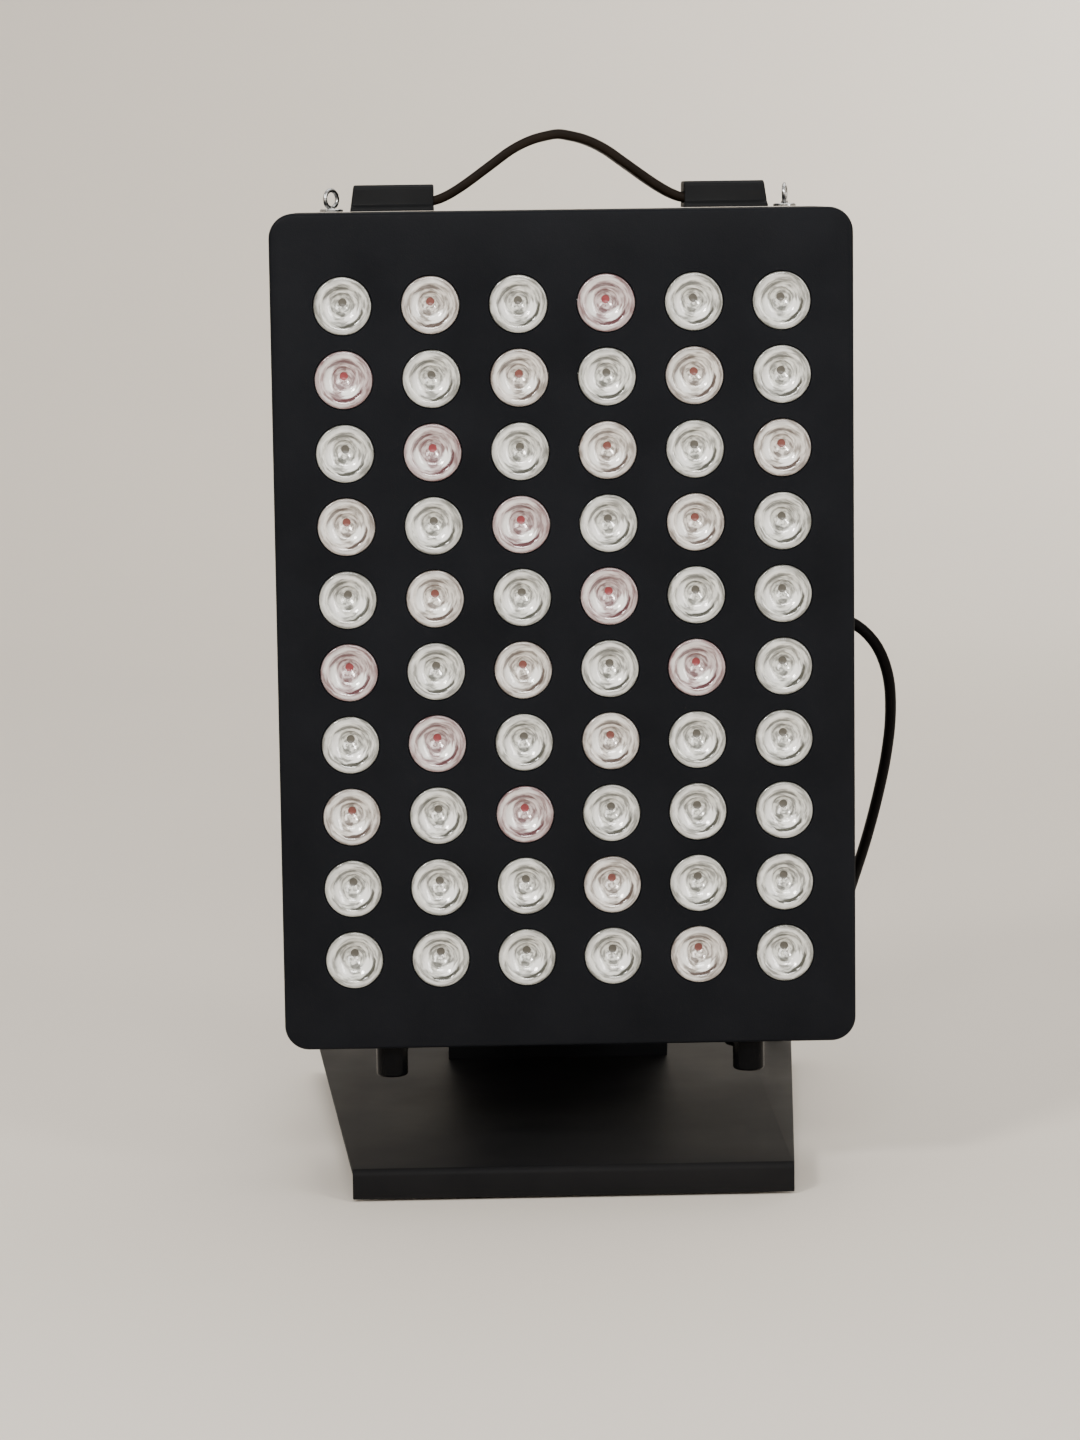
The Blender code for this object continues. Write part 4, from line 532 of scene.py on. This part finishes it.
def reliefSleeve(look, length, place, axis):
    profile = [(0, 0)]
    for ring in range(look["rings"]):
        for part, cut in look["steps"]:
            share = (ring + part) / look["rings"]
            radius = look["root"] + (look["tip"] - look["root"]) * share - look["groove"] * cut
            profile.append((radius, length * share))
    profile.append((0, length))
    return spinProfile(profile, look["segments"], place, axis)


# Inlet plug: its body behind the inlet, a nose that goes in, and its relief on the hinge's axis
hinge = Vector((0, -0.0170, 0.203))
inletPlug = {
    "corner": 0.0024, "cornerSegments": 4, "gap": 0.0003, "relief": 0.020, "overlap": 0.0005,
    "noseInset": 0.0018, "noseDepth": 0.0135, "noseHalf": 0.0044, "noseEdge": 0.0008, "noseSegments": 2,
}


def makeInletPlug(look):
    low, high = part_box("inlet_plug")
    bodyEnd = high.x - look["relief"]
    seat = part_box("power_inlet")[1].y + look["gap"]
    bm = roundedBox((low.x, seat, low.z), (bodyEnd, high.y, high.z), look["corner"], look["cornerSegments"])
    sleeve = (bodyEnd - look["overlap"], hinge.y, hinge.z)
    joinInto(bm, reliefSleeve(relief, look["relief"] + look["overlap"], sleeve, "X"))
    inset, half = look["noseInset"], look["noseHalf"]
    joinInto(bm, roundedBox((low.x + inset, low.y, hinge.z - half),
                            (bodyEnd - inset, low.y + look["noseDepth"], hinge.z + half),
                            look["noseEdge"], look["noseSegments"]))
    return addPiece("anglePlug", bm, [satinPlastic], "panel", ["inlet_plug"])


# Mains plug: ribbed body, relief and two blades
mainsPlug = {
    "corner": 0.0032, "cornerSegments": 5, "blade": 0.016, "relief": 0.020,
    "ribs": 4, "ribFrom": 0.0075, "ribPitch": 0.0032, "ribWidth": 0.0016, "ribHalf": 0.0060,
    "ribProud": 0.0003, "ribEdge": 0.0003, "bladeApart": 0.00635, "bladeHalfWidth": 0.00075,
    "bladeHalfHeight": 0.0031, "bladeRoot": 0.002, "bladeEdge": 0.0005, "edgeSegments": 2,
}


def makeMainsPlug(look):
    low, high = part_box("mains_plug")
    middle = middleOf("mains_plug")
    bodyLow = Vector((low.x, low.y + look["blade"], low.z))
    bodyHigh = Vector((high.x, high.y - look["relief"], high.z))
    body = roundedBox(bodyLow, bodyHigh, look["corner"], look["cornerSegments"])
    half, ribTop = look["ribHalf"], bodyHigh.z + look["ribProud"]
    for rib in range(look["ribs"]):
        y = bodyLow.y + look["ribFrom"] + rib * look["ribPitch"]
        joinInto(body, roundedBox((middle.x - half, y, bodyLow.z),
                                  (middle.x + half, y + look["ribWidth"], ribTop),
                                  look["ribEdge"], look["edgeSegments"]))
    joinInto(body, reliefSleeve(relief, look["relief"], (middle.x, bodyHigh.y, middle.z), "Y"))
    blades = bmesh.new()
    wide, tall = look["bladeHalfWidth"], look["bladeHalfHeight"]
    for side in (-1, 1):
        x = middle.x + side * look["bladeApart"]
        joinInto(blades, roundedBox((x - wide, low.y, middle.z - tall),
                                    (x + wide, bodyLow.y + look["bladeRoot"], middle.z + tall),
                                    look["bladeEdge"], look["edgeSegments"]))
    return (addPiece("mainsPlugBody", body, [satinPlastic], "stand", ["mains_plug"]),
            addPiece("mainsPlugBlades", blades, [bladeNickel], "stand", ["mains_plug"]))


tie = {"corner": 0.0016, "cornerSegments": 4, "band": 0.0007}

plugPiece = makeInletPlug(inletPlug)
mainsBody, mainsBlades = makeMainsPlug(mainsPlug)
tieBlock = roundedBox(*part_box("coil_tie"), tie["corner"], tie["cornerSegments"], along=1)
tieBand = makeBand(tieBlock, tie["band"])
coilTie = addPiece("coilTie", tieBand, [satinPlastic], "stand", ["coil_tie"])

print("mains lead laid")

# Housing: drawn front shell with sixty holes
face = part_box("front_shell")[0].y
panelMiddle = Vector((0, face, 0.207))
housing = {
    "width": 0.210, "height": 0.305, "depth": 0.0622, "sheet": 0.0015,
    "corner": 0.009, "cornerSegments": 12, "fold": 0.0013, "foldSegments": 4, "sharp": 30,
    "holeRadius": 0.01065, "holeFlare": 0.0003, "holeStep": 0.001, "holeReach": 0.004, "holeSegments": 44,
    "columns": 6, "rows": 10, "pitchX": 0.0316, "pitchZ": 0.0265,
}


def lensPlaces(look):
    columns, rows = look["columns"], look["rows"]
    across = [(column - (columns - 1) / 2) * look["pitchX"] for column in range(columns)]
    down = [panelMiddle.z + ((rows - 1) / 2 - row) * look["pitchZ"] for row in range(rows)]
    return [[(x, z) for x in across] for z in down]


def makeHousing(look):
    half = Vector((look["width"] / 2, 0, look["height"] / 2))
    back = face + look["depth"]
    bm = roundedBox((-half.x, face, panelMiddle.z - half.z), (half.x, back, panelMiddle.z + half.z),
                    look["corner"], look["cornerSegments"], along=1)
    roundEdges(bm, rimAt(bm, face), look["fold"], look["foldSegments"])
    openSide = [found for found in bm.faces if found.calc_center_median().y > back - onPlane]
    bmesh.ops.delete(bm, geom=openSide, context="FACES_ONLY")
    bmesh.ops.solidify(bm, geom=bm.faces, thickness=look["sheet"])
    bore, flare, reach = look["holeRadius"], look["holeFlare"], look["holeReach"]
    wide = bore + flare + look["holeStep"]
    profile = ((0, reach), (wide, reach), (wide, look["holeStep"]), (bore + flare, 0), (bore, -flare),
               (bore, -reach), (0, -reach))
    cutter = bmesh.new()
    for row in lensPlaces(look):
        for x, z in row:
            joinInto(cutter, spinProfile(profile, look["holeSegments"], (x, face, z), "-Y"))
    return addPiece("housingShell", cutAway(bm, cutter), [powderCoat], "panel", ["front_shell"],
                    look["sharp"])


makeHousing(housing)
print("housing cut")

# Lenses: flat rim, a step and a deep bowl carrying painted shade and highlights, with the emitter at the
# bowl's foot
lens = {
    "segments": 44, "sharp": 50, "proud": 0.0003, "radius": 0.01035,
    "profile": (  # radius and depth behind the face, in millimetres: pocket, two dishes, wall, rim, skirt
        (0, 5.4), (1.50, 5.4), (1.62, 5.22), (1.80, 5.08), (2.2, 4.87), (2.8, 4.55), (3.3, 4.25),
        (3.8, 3.85), (4.2, 3.4), (4.3, 3.0), (4.45, 2.84), (4.65, 2.8), (5.1, 2.65), (5.7, 2.3),
        (6.4, 1.8), (6.95, 1.3), (7.2, 0.9), (7.5, 0.5), (7.9, 0.25), (8.5, 0.11), (9.3, 0.04),
        (9.9, 0.07), (10.2, 0.18), (10.35, 0.42), (10.35, 4.4), (4.3, 11.6), (0, 11.6)),
    "dishRadius": 0.00702, "dishTop": 0.00135, "dishFoot": 0.0056, "lean": 0.29, "leanStep": 0.018,
    "dieRadius": 0.00150, "swing": 0.32, "swingStep": 2.3,
    "linkHalf": 0.002, "linkFront": 0.0052, "linkBack": 0.0064, "linkEdge": 0.0002, "linkSegments": 1,
    "tints": (
        "CWCRCC", "RCWCWC", "CRCWCW", "WCRCWC", "CWCRCC", "RCWCRC", "CRCWCC", "WCRCCC", "CCCWCC", "CCCCWC"),
}
tintNames = {"C": "Clear", "W": "Warm", "R": "Rosy"}


def mapLenses(row, look, number, places):
    layer = row.loops.layers.uv.new("lensMap")
    for found in row.faces:
        middle = found.calc_center_median().x
        column = min(range(len(places)), key=lambda index: abs(places[index][0] - middle))
        swing = look["swing"] * math.sin(look["swingStep"] * (number * len(places) + column))
        x, z = places[column]
        for loop in found.loops:
            across, up = (loop.vert.co.x - x) / look["radius"], (loop.vert.co.z - z) / look["radius"]
            loop[layer].uv = (across * math.cos(swing) - up * math.sin(swing),
                              across * math.sin(swing) + up * math.cos(swing))


def makeLensRow(number, look, places):
    row = bmesh.new()
    tints = look["tints"][number]
    order = list(dict.fromkeys(tints))
    profile = [(radius / 1000, -depth / 1000) for radius, depth in look["profile"]]
    lean = look["lean"] + look["leanStep"] * number
    for (x, z), tint in zip(places, tints):
        one = spinProfile(profile, look["segments"], (0, 0, 0))
        for found in one.faces:
            middle = found.calc_center_median()
            isDie = middle.xy.length < look["dieRadius"] and middle.z > -look["dishFoot"]
            found.material_index = order.index(tint) * 2 + isDie
        for vert in one.verts:  # the die shows a little high through the lens
            depth = -vert.co.z
            if vert.co.xy.length < look["dishRadius"] and depth < look["dishFoot"]:
                vert.co.y += lean * (depth - look["dishTop"])
        joinInto(row, settle(one, (x, face - look["proud"], z), "-Y"))
    z, half = places[0][1], look["linkHalf"]
    joinInto(row, roundedBox((places[0][0], face + look["linkFront"], z - half),
                             (places[-1][0], face + look["linkBack"], z + half),
                             look["linkEdge"], look["linkSegments"]))
    mapLenses(row, look, number, places)
    materials = [material for letter in order for material in lensFinishes[tintNames[letter]]]
    return addPiece(f"lensStrip{number + 1}", row, materials, "panel", [f"lens_row_{number + 1}"],
                    look["sharp"])


for number, places in enumerate(lensPlaces(housing)):
    makeLensRow(number, lens, places)
print("lenses set")

# Base: one folded sheet
base = {
    "frontHalf": 0.081, "rearHalf": 0.0997, "frontY": -0.1150, "rearY": 0.1150,
    "top": 0.012, "lip": 0.001, "sheet": 0.002, "fold": 0.0026, "foldSegments": 6,
    "rearLipHalf": 0.080, "notch": 0.0045, "edge": 0.00035, "edgeSegments": 2, "edgeAngle": 50,
}


def makeBase(look):
    bm = bmesh.new()
    front, rear = (look["frontHalf"], look["frontY"]), (look["rearHalf"], look["rearY"])
    outline = ((*front, look["lip"]), (*front, look["top"]), (*rear, look["top"]), (*rear, look["lip"]))
    verts = [bm.verts.new((-x, y, z)) for x, y, z in outline]
    edges = [bm.edges.new(pair) for pair in zip(verts, verts[1:])]
    for vert in vertsOf(bmesh.ops.extrude_edge_only(bm, edges=edges)["geom"]):
        vert.co.x = -vert.co.x
    folds = [edge for edge in bm.edges if len(edge.link_faces) == 2]
    roundEdges(bm, folds, look["fold"], look["foldSegments"])
    bmesh.ops.recalc_face_normals(bm, faces=bm.faces)
    faceUp(bm)
    notchY, lipHalf = look["rearY"] - look["notch"], look["rearLipHalf"]
    cuts = (((0, notchY, 0), (0, 1, 0)), ((lipHalf, 0, 0), (1, 0, 0)), ((-lipHalf, 0, 0), (1, 0, 0)))
    for place, across in cuts:
        everything = bm.verts[:] + bm.edges[:] + bm.faces[:]
        bmesh.ops.bisect_plane(bm, geom=everything, plane_co=place, plane_no=across)
    middles = {found: found.calc_center_median() for found in bm.faces}
    notches = [found for found, spot in middles.items() if spot.y > notchY and abs(spot.x) > lipHalf]
    bmesh.ops.delete(bm, geom=notches, context="FACES")
    piece = addPiece("baseSheet", bm, [baseEnamel], "stand", ["base_plate"])
    thicken(piece, look["sheet"], -1)
    soften(piece, look["edge"], look["edgeSegments"], look["edgeAngle"])
    return piece


makeBase(base)
print("base folded")

# Handle: strap between two caps
handle = {
    "capHalfWidth": 0.0125, "capHeight": 0.0095, "skirt": 0.0022, "skirtShare": 0.55, "skirtStep": 0.0020,
    "slant": 0.0014, "crown": 0.0014, "shoulder": 0.0011,
    "edge": 0.0006, "edgeSegments": 3, "edgeAngle": 40, "edgeFrom": 0.001,
    "slotReach": 0.001, "slotHalfWidth": 0.0103, "slotHalfHeight": 0.0020,
    "slotEdge": 0.0004, "slotSegments": 2,
    "strapWidth": 0.020, "strapThickness": 0.0034, "strapColumns": 88, "strapRows": 2,
    "strapEdge": 0.0012, "strapEdgeSegments": 4, "strapEdgeAngle": 60,
    "exitHeight": 0.0036, "rise": 0.0235, "halfSpan": 0.0455, "tuck": 0.010,
    "riseShares": (1.0, 0.97, 0.92, 0.84, 0.73, 0.59, 0.45, 0.31, 0.18, 0.07),
}
topMiddle = Vector((0, middleOf("handle_strap").y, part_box("handle_cap_left")[0].z))


def makeCap(look, name, node, side):
    low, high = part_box(node)
    outer, inner = (high.x, low.x) if side > 0 else (low.x, high.x)
    half, tall, skirt = look["capHalfWidth"], look["capHeight"], look["skirt"]
    waist = half - look["skirtStep"]
    flank = ((half, 0), (half, skirt * look["skirtShare"]), (waist, skirt), (waist, tall - look["shoulder"]),
             (waist - look["crown"], tall))
    outline = [(-y, z) for y, z in flank] + list(reversed(flank))
    bm = bmesh.new()
    start = bm.faces.new([bm.verts.new((inner, topMiddle.y + y, topMiddle.z + z)) for y, z in outline])
    for vert in vertsOf(bmesh.ops.extrude_face_region(bm, geom=[start])["geom"]):
        vert.co.x = outer - side * look["slant"] * (vert.co.z - topMiddle.z) / tall
    bmesh.ops.recalc_face_normals(bm, faces=bm.faces)
    bent = [edge for edge in bm.edges if edge.calc_face_angle(0) > math.radians(look["edgeAngle"])]
    lowest = topMiddle.z + look["edgeFrom"]
    upper = [edge for edge in bent if max(vert.co.z for vert in edge.verts) > lowest]
    roundEdges(bm, upper, look["edge"], look["edgeSegments"])
    start, end = sorted((inner - side * look["slotReach"], inner + side * look["tuck"]))
    mouth = topMiddle + Vector((0, 0, look["exitHeight"]))
    reach = Vector((0, look["slotHalfWidth"], look["slotHalfHeight"]))
    slot = roundedBox((start, *(mouth - reach).yz), (end, *(mouth + reach).yz),
                      look["slotEdge"], look["slotSegments"])
    return addPiece(name, cutAway(bm, slot), [satinPlastic], "panel", [node])


makeCap(handle, "capLeft", "handle_cap_left", -1)
makeCap(handle, "capRight", "handle_cap_right", 1)


def strapHeight(look, x):
    shares = (*look["riseShares"], 0, 0, 0)  # level where it is tucked in
    last = len(look["riseShares"])
    place = min(abs(x) / look["halfSpan"] * last, last)
    index = int(place)
    t = place - index
    before = shares[abs(index - 1)]
    start, end, after = shares[index:index + 3]
    share = 0.5 * (2 * start + (end - before) * t + (2 * before - 5 * start + 4 * end - after) * t**2
                   + (3 * start - before - 3 * end + after) * t**3)
    return look["exitHeight"] + look["rise"] * share


def makeStrap(look):
    bm = bmesh.new()
    reach = look["halfSpan"] + look["tuck"]
    bmesh.ops.create_grid(bm, x_segments=look["strapColumns"], y_segments=look["strapRows"], size=1)
    for vert in bm.verts:
        x = vert.co.x * reach
        vert.co = topMiddle + Vector((x, vert.co.y * look["strapWidth"] / 2, strapHeight(look, x)))
    piece = addPiece("handleStrap", bm, [strapRubber], "panel", ["handle_strap"])
    thicken(piece, look["strapThickness"], 0)
    soften(piece, look["strapEdge"], look["strapEdgeSegments"], look["strapEdgeAngle"])


makeStrap(handle)
print("handle fitted")

# Swivel eyes: a ring on a stem and collar, which is (radius, height)
eye = {
    "profile": ((0, 0), (0.00425, 0), (0.00425, 0.0007), (0.00385, 0.001), (0.0016, 0.001), (0.0013, 0.0014),
                (0.0013, 0.0019), (0, 0.0021)),
    "segments": 32, "ringRadius": 0.0032, "wireRadius": 0.0008, "wireSegments": 14, "ringSegments": 40,
    "ringHeight": 0.0046, "turns": {"left": 48, "right": 80},
}


def makeEye(look, side, node):
    seat = seatOf(node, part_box(node)[0].z)
    bm = spinProfile(look["profile"], look["segments"], seat)
    wire = look["wireRadius"]
    angles = [2 * math.pi * step / look["wireSegments"] for step in range(look["wireSegments"])]
    section = [(look["ringRadius"] - wire * math.sin(angle), wire * math.cos(angle)) for angle in angles]
    ring = spinProfile(section, look["ringSegments"], (0, 0, 0), "-Y", closed=True)
    turn = Matrix.Rotation(math.radians(look["turns"][side]), 4, "Z")
    lift = Matrix.Translation(seat + Vector((0, 0, look["ringHeight"])))
    bmesh.ops.transform(ring, matrix=lift @ turn, verts=ring.verts)
    joinInto(bm, ring)
    return addPiece(f"swivelEye{side.capitalize()}", bm, [eyeChrome], f"eye_{side}", [node])


makeEye(eye, "left", "hanging_eye_left")
makeEye(eye, "right", "hanging_eye_right")

# Rubber feet and base pads
corners = [(end, side) for end in ("front", "rear") for side in ("left", "right")]
foot = {
    "radius": 0.0058, "height": 0.0115, "topEdge": 0.0002, "roundness": 0.0011, "roundSteps": 6,
    "cupOuter": 0.0030, "cupInner": 0.0026, "cup": 0.0018, "segments": 48,
}
pad = {"radius": 0.007, "roundness": 0.0006, "shoulder": 0.0002, "shoulderShare": 0.4, "segments": 40}


def makeFoot(look, name, node):
    radius, tall, edge = look["radius"], look["height"], look["roundness"]
    profile = [(0, 0), (radius - look["topEdge"], 0), (radius, -look["topEdge"])]
    for step in range(look["roundSteps"] + 1):
        angle = step / look["roundSteps"] * math.pi / 2
        profile.append((radius - edge + edge * math.cos(angle), -tall + edge - edge * math.sin(angle)))
    hollow = look["cup"] - tall
    profile += [(look["cupOuter"], -tall), (look["cupInner"], hollow), (0, hollow)]
    bm = spinProfile(profile, look["segments"], seatOf(node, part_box(node)[1].z))
    return addPiece(name, bm, [glossRubber], "panel", [node])


def makePad(look, name, node):
    low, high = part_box(node)
    radius, edge, tall = look["radius"], look["roundness"], high.z - low.z
    shoulder = (radius - look["shoulder"], edge * look["shoulderShare"])
    profile = ((0, 0), (radius - edge, 0), shoulder, (radius, edge), (radius, tall), (0, tall))
    bm = spinProfile(profile, look["segments"], seatOf(node, low.z))
    return addPiece(name, bm, [glossRubber], "stand", [node])


for end, side in corners:
    makeFoot(foot, f"foot{end.capitalize()}{side.capitalize()}", f"rubber_foot_{end}_{side}")
for end, side in corners:
    makePad(pad, f"pad{end.capitalize()}{side.capitalize()}", f"base_pad_{end}_{side}")
print("feet and pads set")

# Rear cover: openings are (across, up, corner)
cover = {
    "sheet": 0.0015, "gap": 0.0003, "edge": 0.0004, "edgeSegments": 2, "reach": 0.003,
    "fanRadius": 0.038, "fanHeight": 0.092, "fanSegments": 64,
    "screwRadius": 0.0023, "screwHeight": 0.019, "screwSegments": 24,
    "inlet": (0.0246, 0.0171, 0.0005), "switch": (0.0138, 0.0198, 0.0005), "vent": (0.004, 0.030, 0.0019),
    "ventCount": 6, "ventPitch": 0.009, "ventX": -0.07175, "ventDrop": 0.060, "openingSegments": 4,
}


def makeCover(look):
    low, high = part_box("rear_cover")
    inner, reach = high.y - look["sheet"], look["reach"]
    corner, cornerSegments = housing["corner"], housing["cornerSegments"]
    bm = roundedBox((low.x, inner, low.z), high, corner, cornerSegments, along=1)
    roundEdges(bm, rimAt(bm, high.y), look["edge"], look["edgeSegments"])
    cutter = bmesh.new()
    for side in (1, -1):
        for kind, z in (("fan", panelMiddle.z), ("screw", hinge.z)):
            radius = look[kind + "Radius"]
            profile = ((0, -reach), (radius, -reach), (radius, reach), (0, reach))
            place = (0, inner, z + side * look[kind + "Height"])
            joinInto(cutter, spinProfile(profile, look[kind + "Segments"], place, "Y"))
    openings = []
    for node in ("power_inlet", "switch_bezel_red", "switch_bezel_infrared"):
        size = look["inlet"] if node == "power_inlet" else look["switch"]
        openings.append((middleOf(node).x, middleOf(node).z, size))
    for count in range(look["ventCount"]):
        x = look["ventX"] + (count - (look["ventCount"] - 1) / 2) * look["ventPitch"]
        openings.append((x, panelMiddle.z - look["ventDrop"], look["vent"]))
    for x, z, (width, tall, rounding) in openings:
        joinInto(cutter, roundedBox((x - width / 2, inner - reach, z - tall / 2),
                                    (x + width / 2, high.y + reach, z + tall / 2),
                                    rounding, look["openingSegments"], along=1))
    bm = cutAway(bm, cutter)
    step = housing["sheet"] + look["gap"]
    flange = roundedBox((low.x + step, low.y, low.z + step), (high.x - step, inner, high.z - step),
                        corner - step, cornerSegments, along=1)
    joinInto(bm, makeBand(flange, look["sheet"]))
    return addPiece("rearPanel", bm, [rearCoat], "panel", ["rear_cover"], housing["sharp"])


makeCover(cover)

# Fan guards: rings round a hub, on an upright and a level bar
guard = {
    "outer": 0.044, "ring": 0.0024, "rings": 3, "ringSegments": 72, "hub": 0.010, "hubSegments": 48,
    "barWidth": 0.0046, "barInset": 0.0001, "edge": 0.00025, "barSegments": 1,
}


def makeGuard(look, name, node):
    low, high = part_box(node)
    middle = middleOf(node)
    tall, edge, inset = high.y - low.y, look["edge"], look["barInset"]
    pitch = (look["outer"] - look["hub"]) / look["rings"]
    bm = bmesh.new()
    for ring in range(look["rings"] + 1):
        outside = look["hub"] + ring * pitch
        inside = outside - look["ring"]
        outerWall = [(outside - edge, 0), (outside, edge), (outside, tall - edge), (outside - edge, tall)]
        innerWall = [(inside + edge, tall), (inside, tall - edge), (inside, edge), (inside + edge, 0)]
        profile = outerWall + innerWall if ring else [(0, 0), *outerWall, (0, tall)]
        segments = look["ringSegments"] if ring else look["hubSegments"]
        joinInto(bm, spinProfile(profile, segments, (middle.x, low.y, middle.z), "Y", closed=ring > 0))
    reach, half = look["outer"] - edge * 3, look["barWidth"] / 2
    for x, z in ((half, reach), (reach, half)):
        joinInto(bm, roundedBox((middle.x - x, low.y + inset, middle.z - z),
                                (middle.x + x, high.y - inset, middle.z + z), edge, look["barSegments"]))
    return addPiece(name, bm, [zincSteel], "panel", [node])


makeGuard(guard, "guardUpper", "fan_grille_upper")
makeGuard(guard, "guardLower", "fan_grille_lower")

# Knob: lobed grip with a round boss
knob = {
    "radius": 0.014, "lobe": 0.0015, "lobes": 6, "points": 96, "grip": 0.011,
    "edge": 0.0011, "edgeSegments": 4,
    "boss": 0.0040, "bossRadius": 0.0070, "bossEdge": 0.0004, "bossSegments": 48,
}


def makeKnob(look):
    low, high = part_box("tilt_knob")
    bm = bmesh.new()
    circle = bmesh.ops.create_circle(bm, cap_ends=True, segments=look["points"], radius=1)
    for vert in circle["verts"]:
        angle = math.atan2(vert.co.y, vert.co.x)
        radius = look["radius"] - look["lobe"] * (1 - math.cos(look["lobes"] * angle)) / 2
        vert.co = Vector((low.x, hinge.y + radius * math.cos(angle), hinge.z + radius * math.sin(angle)))
    made = bmesh.ops.extrude_face_region(bm, geom=list(bm.faces))["geom"]
    bmesh.ops.translate(bm, verts=vertsOf(made), vec=(look["grip"], 0, 0))
    bmesh.ops.recalc_face_normals(bm, faces=bm.faces)
    rims = [edge for edge in bm.edges if abs(edge.verts[0].co.x - edge.verts[1].co.x) < onPlane]
    roundEdges(bm, rims, look["edge"], look["edgeSegments"])
    boss, radius, edge = look["boss"], look["bossRadius"], look["bossEdge"]
    profile = ((0, 0), (radius, 0), (radius, boss - edge), (radius - edge, boss), (0, boss))
    joinInto(bm, spinProfile(profile, look["bossSegments"], (high.x - boss, hinge.y, hinge.z), "X"))
    return addPiece("tiltKnob", bm, [satinPlastic], "knob", ["tilt_knob"])


makeKnob(knob)
print("rear parts made")

# CAD pieces that keep their shape: those not named here are zinc steel
finishes = {
    "neck": rearCoat, "tilt_bracket": rearCoat, "led_board": solderMask, "heat_sink": sinkAluminium,
    "driver_left": driverCase, "driver_right": driverCase,
    "fan_frame_upper": satinPlastic, "fan_frame_lower": satinPlastic,
    "fan_rotor_upper": bladePlastic, "fan_rotor_lower": bladePlastic, "power_inlet": satinPlastic,
    "switch_bezel_red": satinPlastic, "switch_bezel_infrared": satinPlastic,
    "switch_rocker_red": bladePlastic, "switch_rocker_infrared": bladePlastic,
}
for name, node in nodes.items():
    for slot in node.material_slots:
        slot.material = finishes.get(name, zincSteel)
print("finishes set")

# Studio: a round pale sweep that is open above, so the part can be seen from every side
studio = {
    "floor": (0.67, 0.618, 0.548), "floorShade": 0.98, "rough": (0.7, 0.8), "mottle": 3,
    "flat": 1.7, "bend": 2.2, "tall": 2.25, "bendSteps": 24, "segments": 96,
    "world": (0.80, 0.785, 0.765), "worldStrength": 0.78,
    "lights": (
        {"name": "windowRight", "place": (1.35, -1.60, 0.95), "size": (0.4, 1.4), "power": 23,
         "colour": (1.0, 0.985, 0.96), "aim": (0, 0, 0.22)},
        {"name": "lampLeft", "place": (-0.95, -1.35, 1.25), "size": (0.3, 0.3), "power": 22,
         "colour": (1.0, 0.98, 0.95), "aim": (0, 0, 0.22)},
        {"name": "ceilingFill", "place": (0.3, 0.5, 2.4), "size": (2.0, 2.0), "power": 29,
         "colour": (1.0, 0.98, 0.95), "aim": (0, 0, 0.22)},
        {"name": "highFront", "place": (0.0, -1.65, 1.00), "size": (0.6, 0.3), "power": 15,
         "colour": (1.0, 0.985, 0.97), "aim": (0, 0, 0.22)},
        {"name": "wallWash", "place": (1.7, 2.4, 1.7), "size": (0.8, 0.8), "power": 70,
         "colour": (1.0, 0.985, 0.95), "aim": (1.1, 3.5, 0.6)},
    ),
}


def makeSweep(look):
    flat, bend = look["flat"], look["bend"]
    profile = [(0, 0)]
    for step in range(look["bendSteps"] + 1):
        angle = step / look["bendSteps"] * math.pi / 2
        profile.append((flat + bend * math.sin(angle), bend * (1 - math.cos(angle))))
    profile.append((flat + bend, look["tall"]))
    bm = spinProfile(profile, look["segments"], (0, 0, 0))
    faceUp(bm)
    dark = tuple(value * look["floorShade"] for value in look["floor"])
    paint = makeMaterial("sweepPaint", {
        "dark": dark, "light": look["floor"], "rough": look["rough"], "mottle": look["mottle"]})
    sweep = addMesh("sweep", bm, [paint])


def makeLight(look):
    data = bpy.data.lights.new(look["name"], "AREA")
    data.shape = "RECTANGLE"
    data.size, data.size_y = look["size"]
    data.energy = look["power"]
    data.color = look["colour"]
    lamp = show(look["name"], data)
    lamp.location = look["place"]
    toward = Vector(look["aim"]) - lamp.location
    lamp.rotation_euler = toward.to_track_quat("-Z", "Y").to_euler()


def makeWorld(look):
    world = bpy.data.worlds.new("roomLight")
    world.use_nodes = True
    background = world.node_tree.nodes["Background"]
    background.inputs["Color"].default_value = (*look["world"], 1)
    background.inputs["Strength"].default_value = look["worldStrength"]
    bpy.context.scene.world = world


makeSweep(studio)
for light in studio["lights"]:
    makeLight(light)
makeWorld(studio)
print("studio lit")
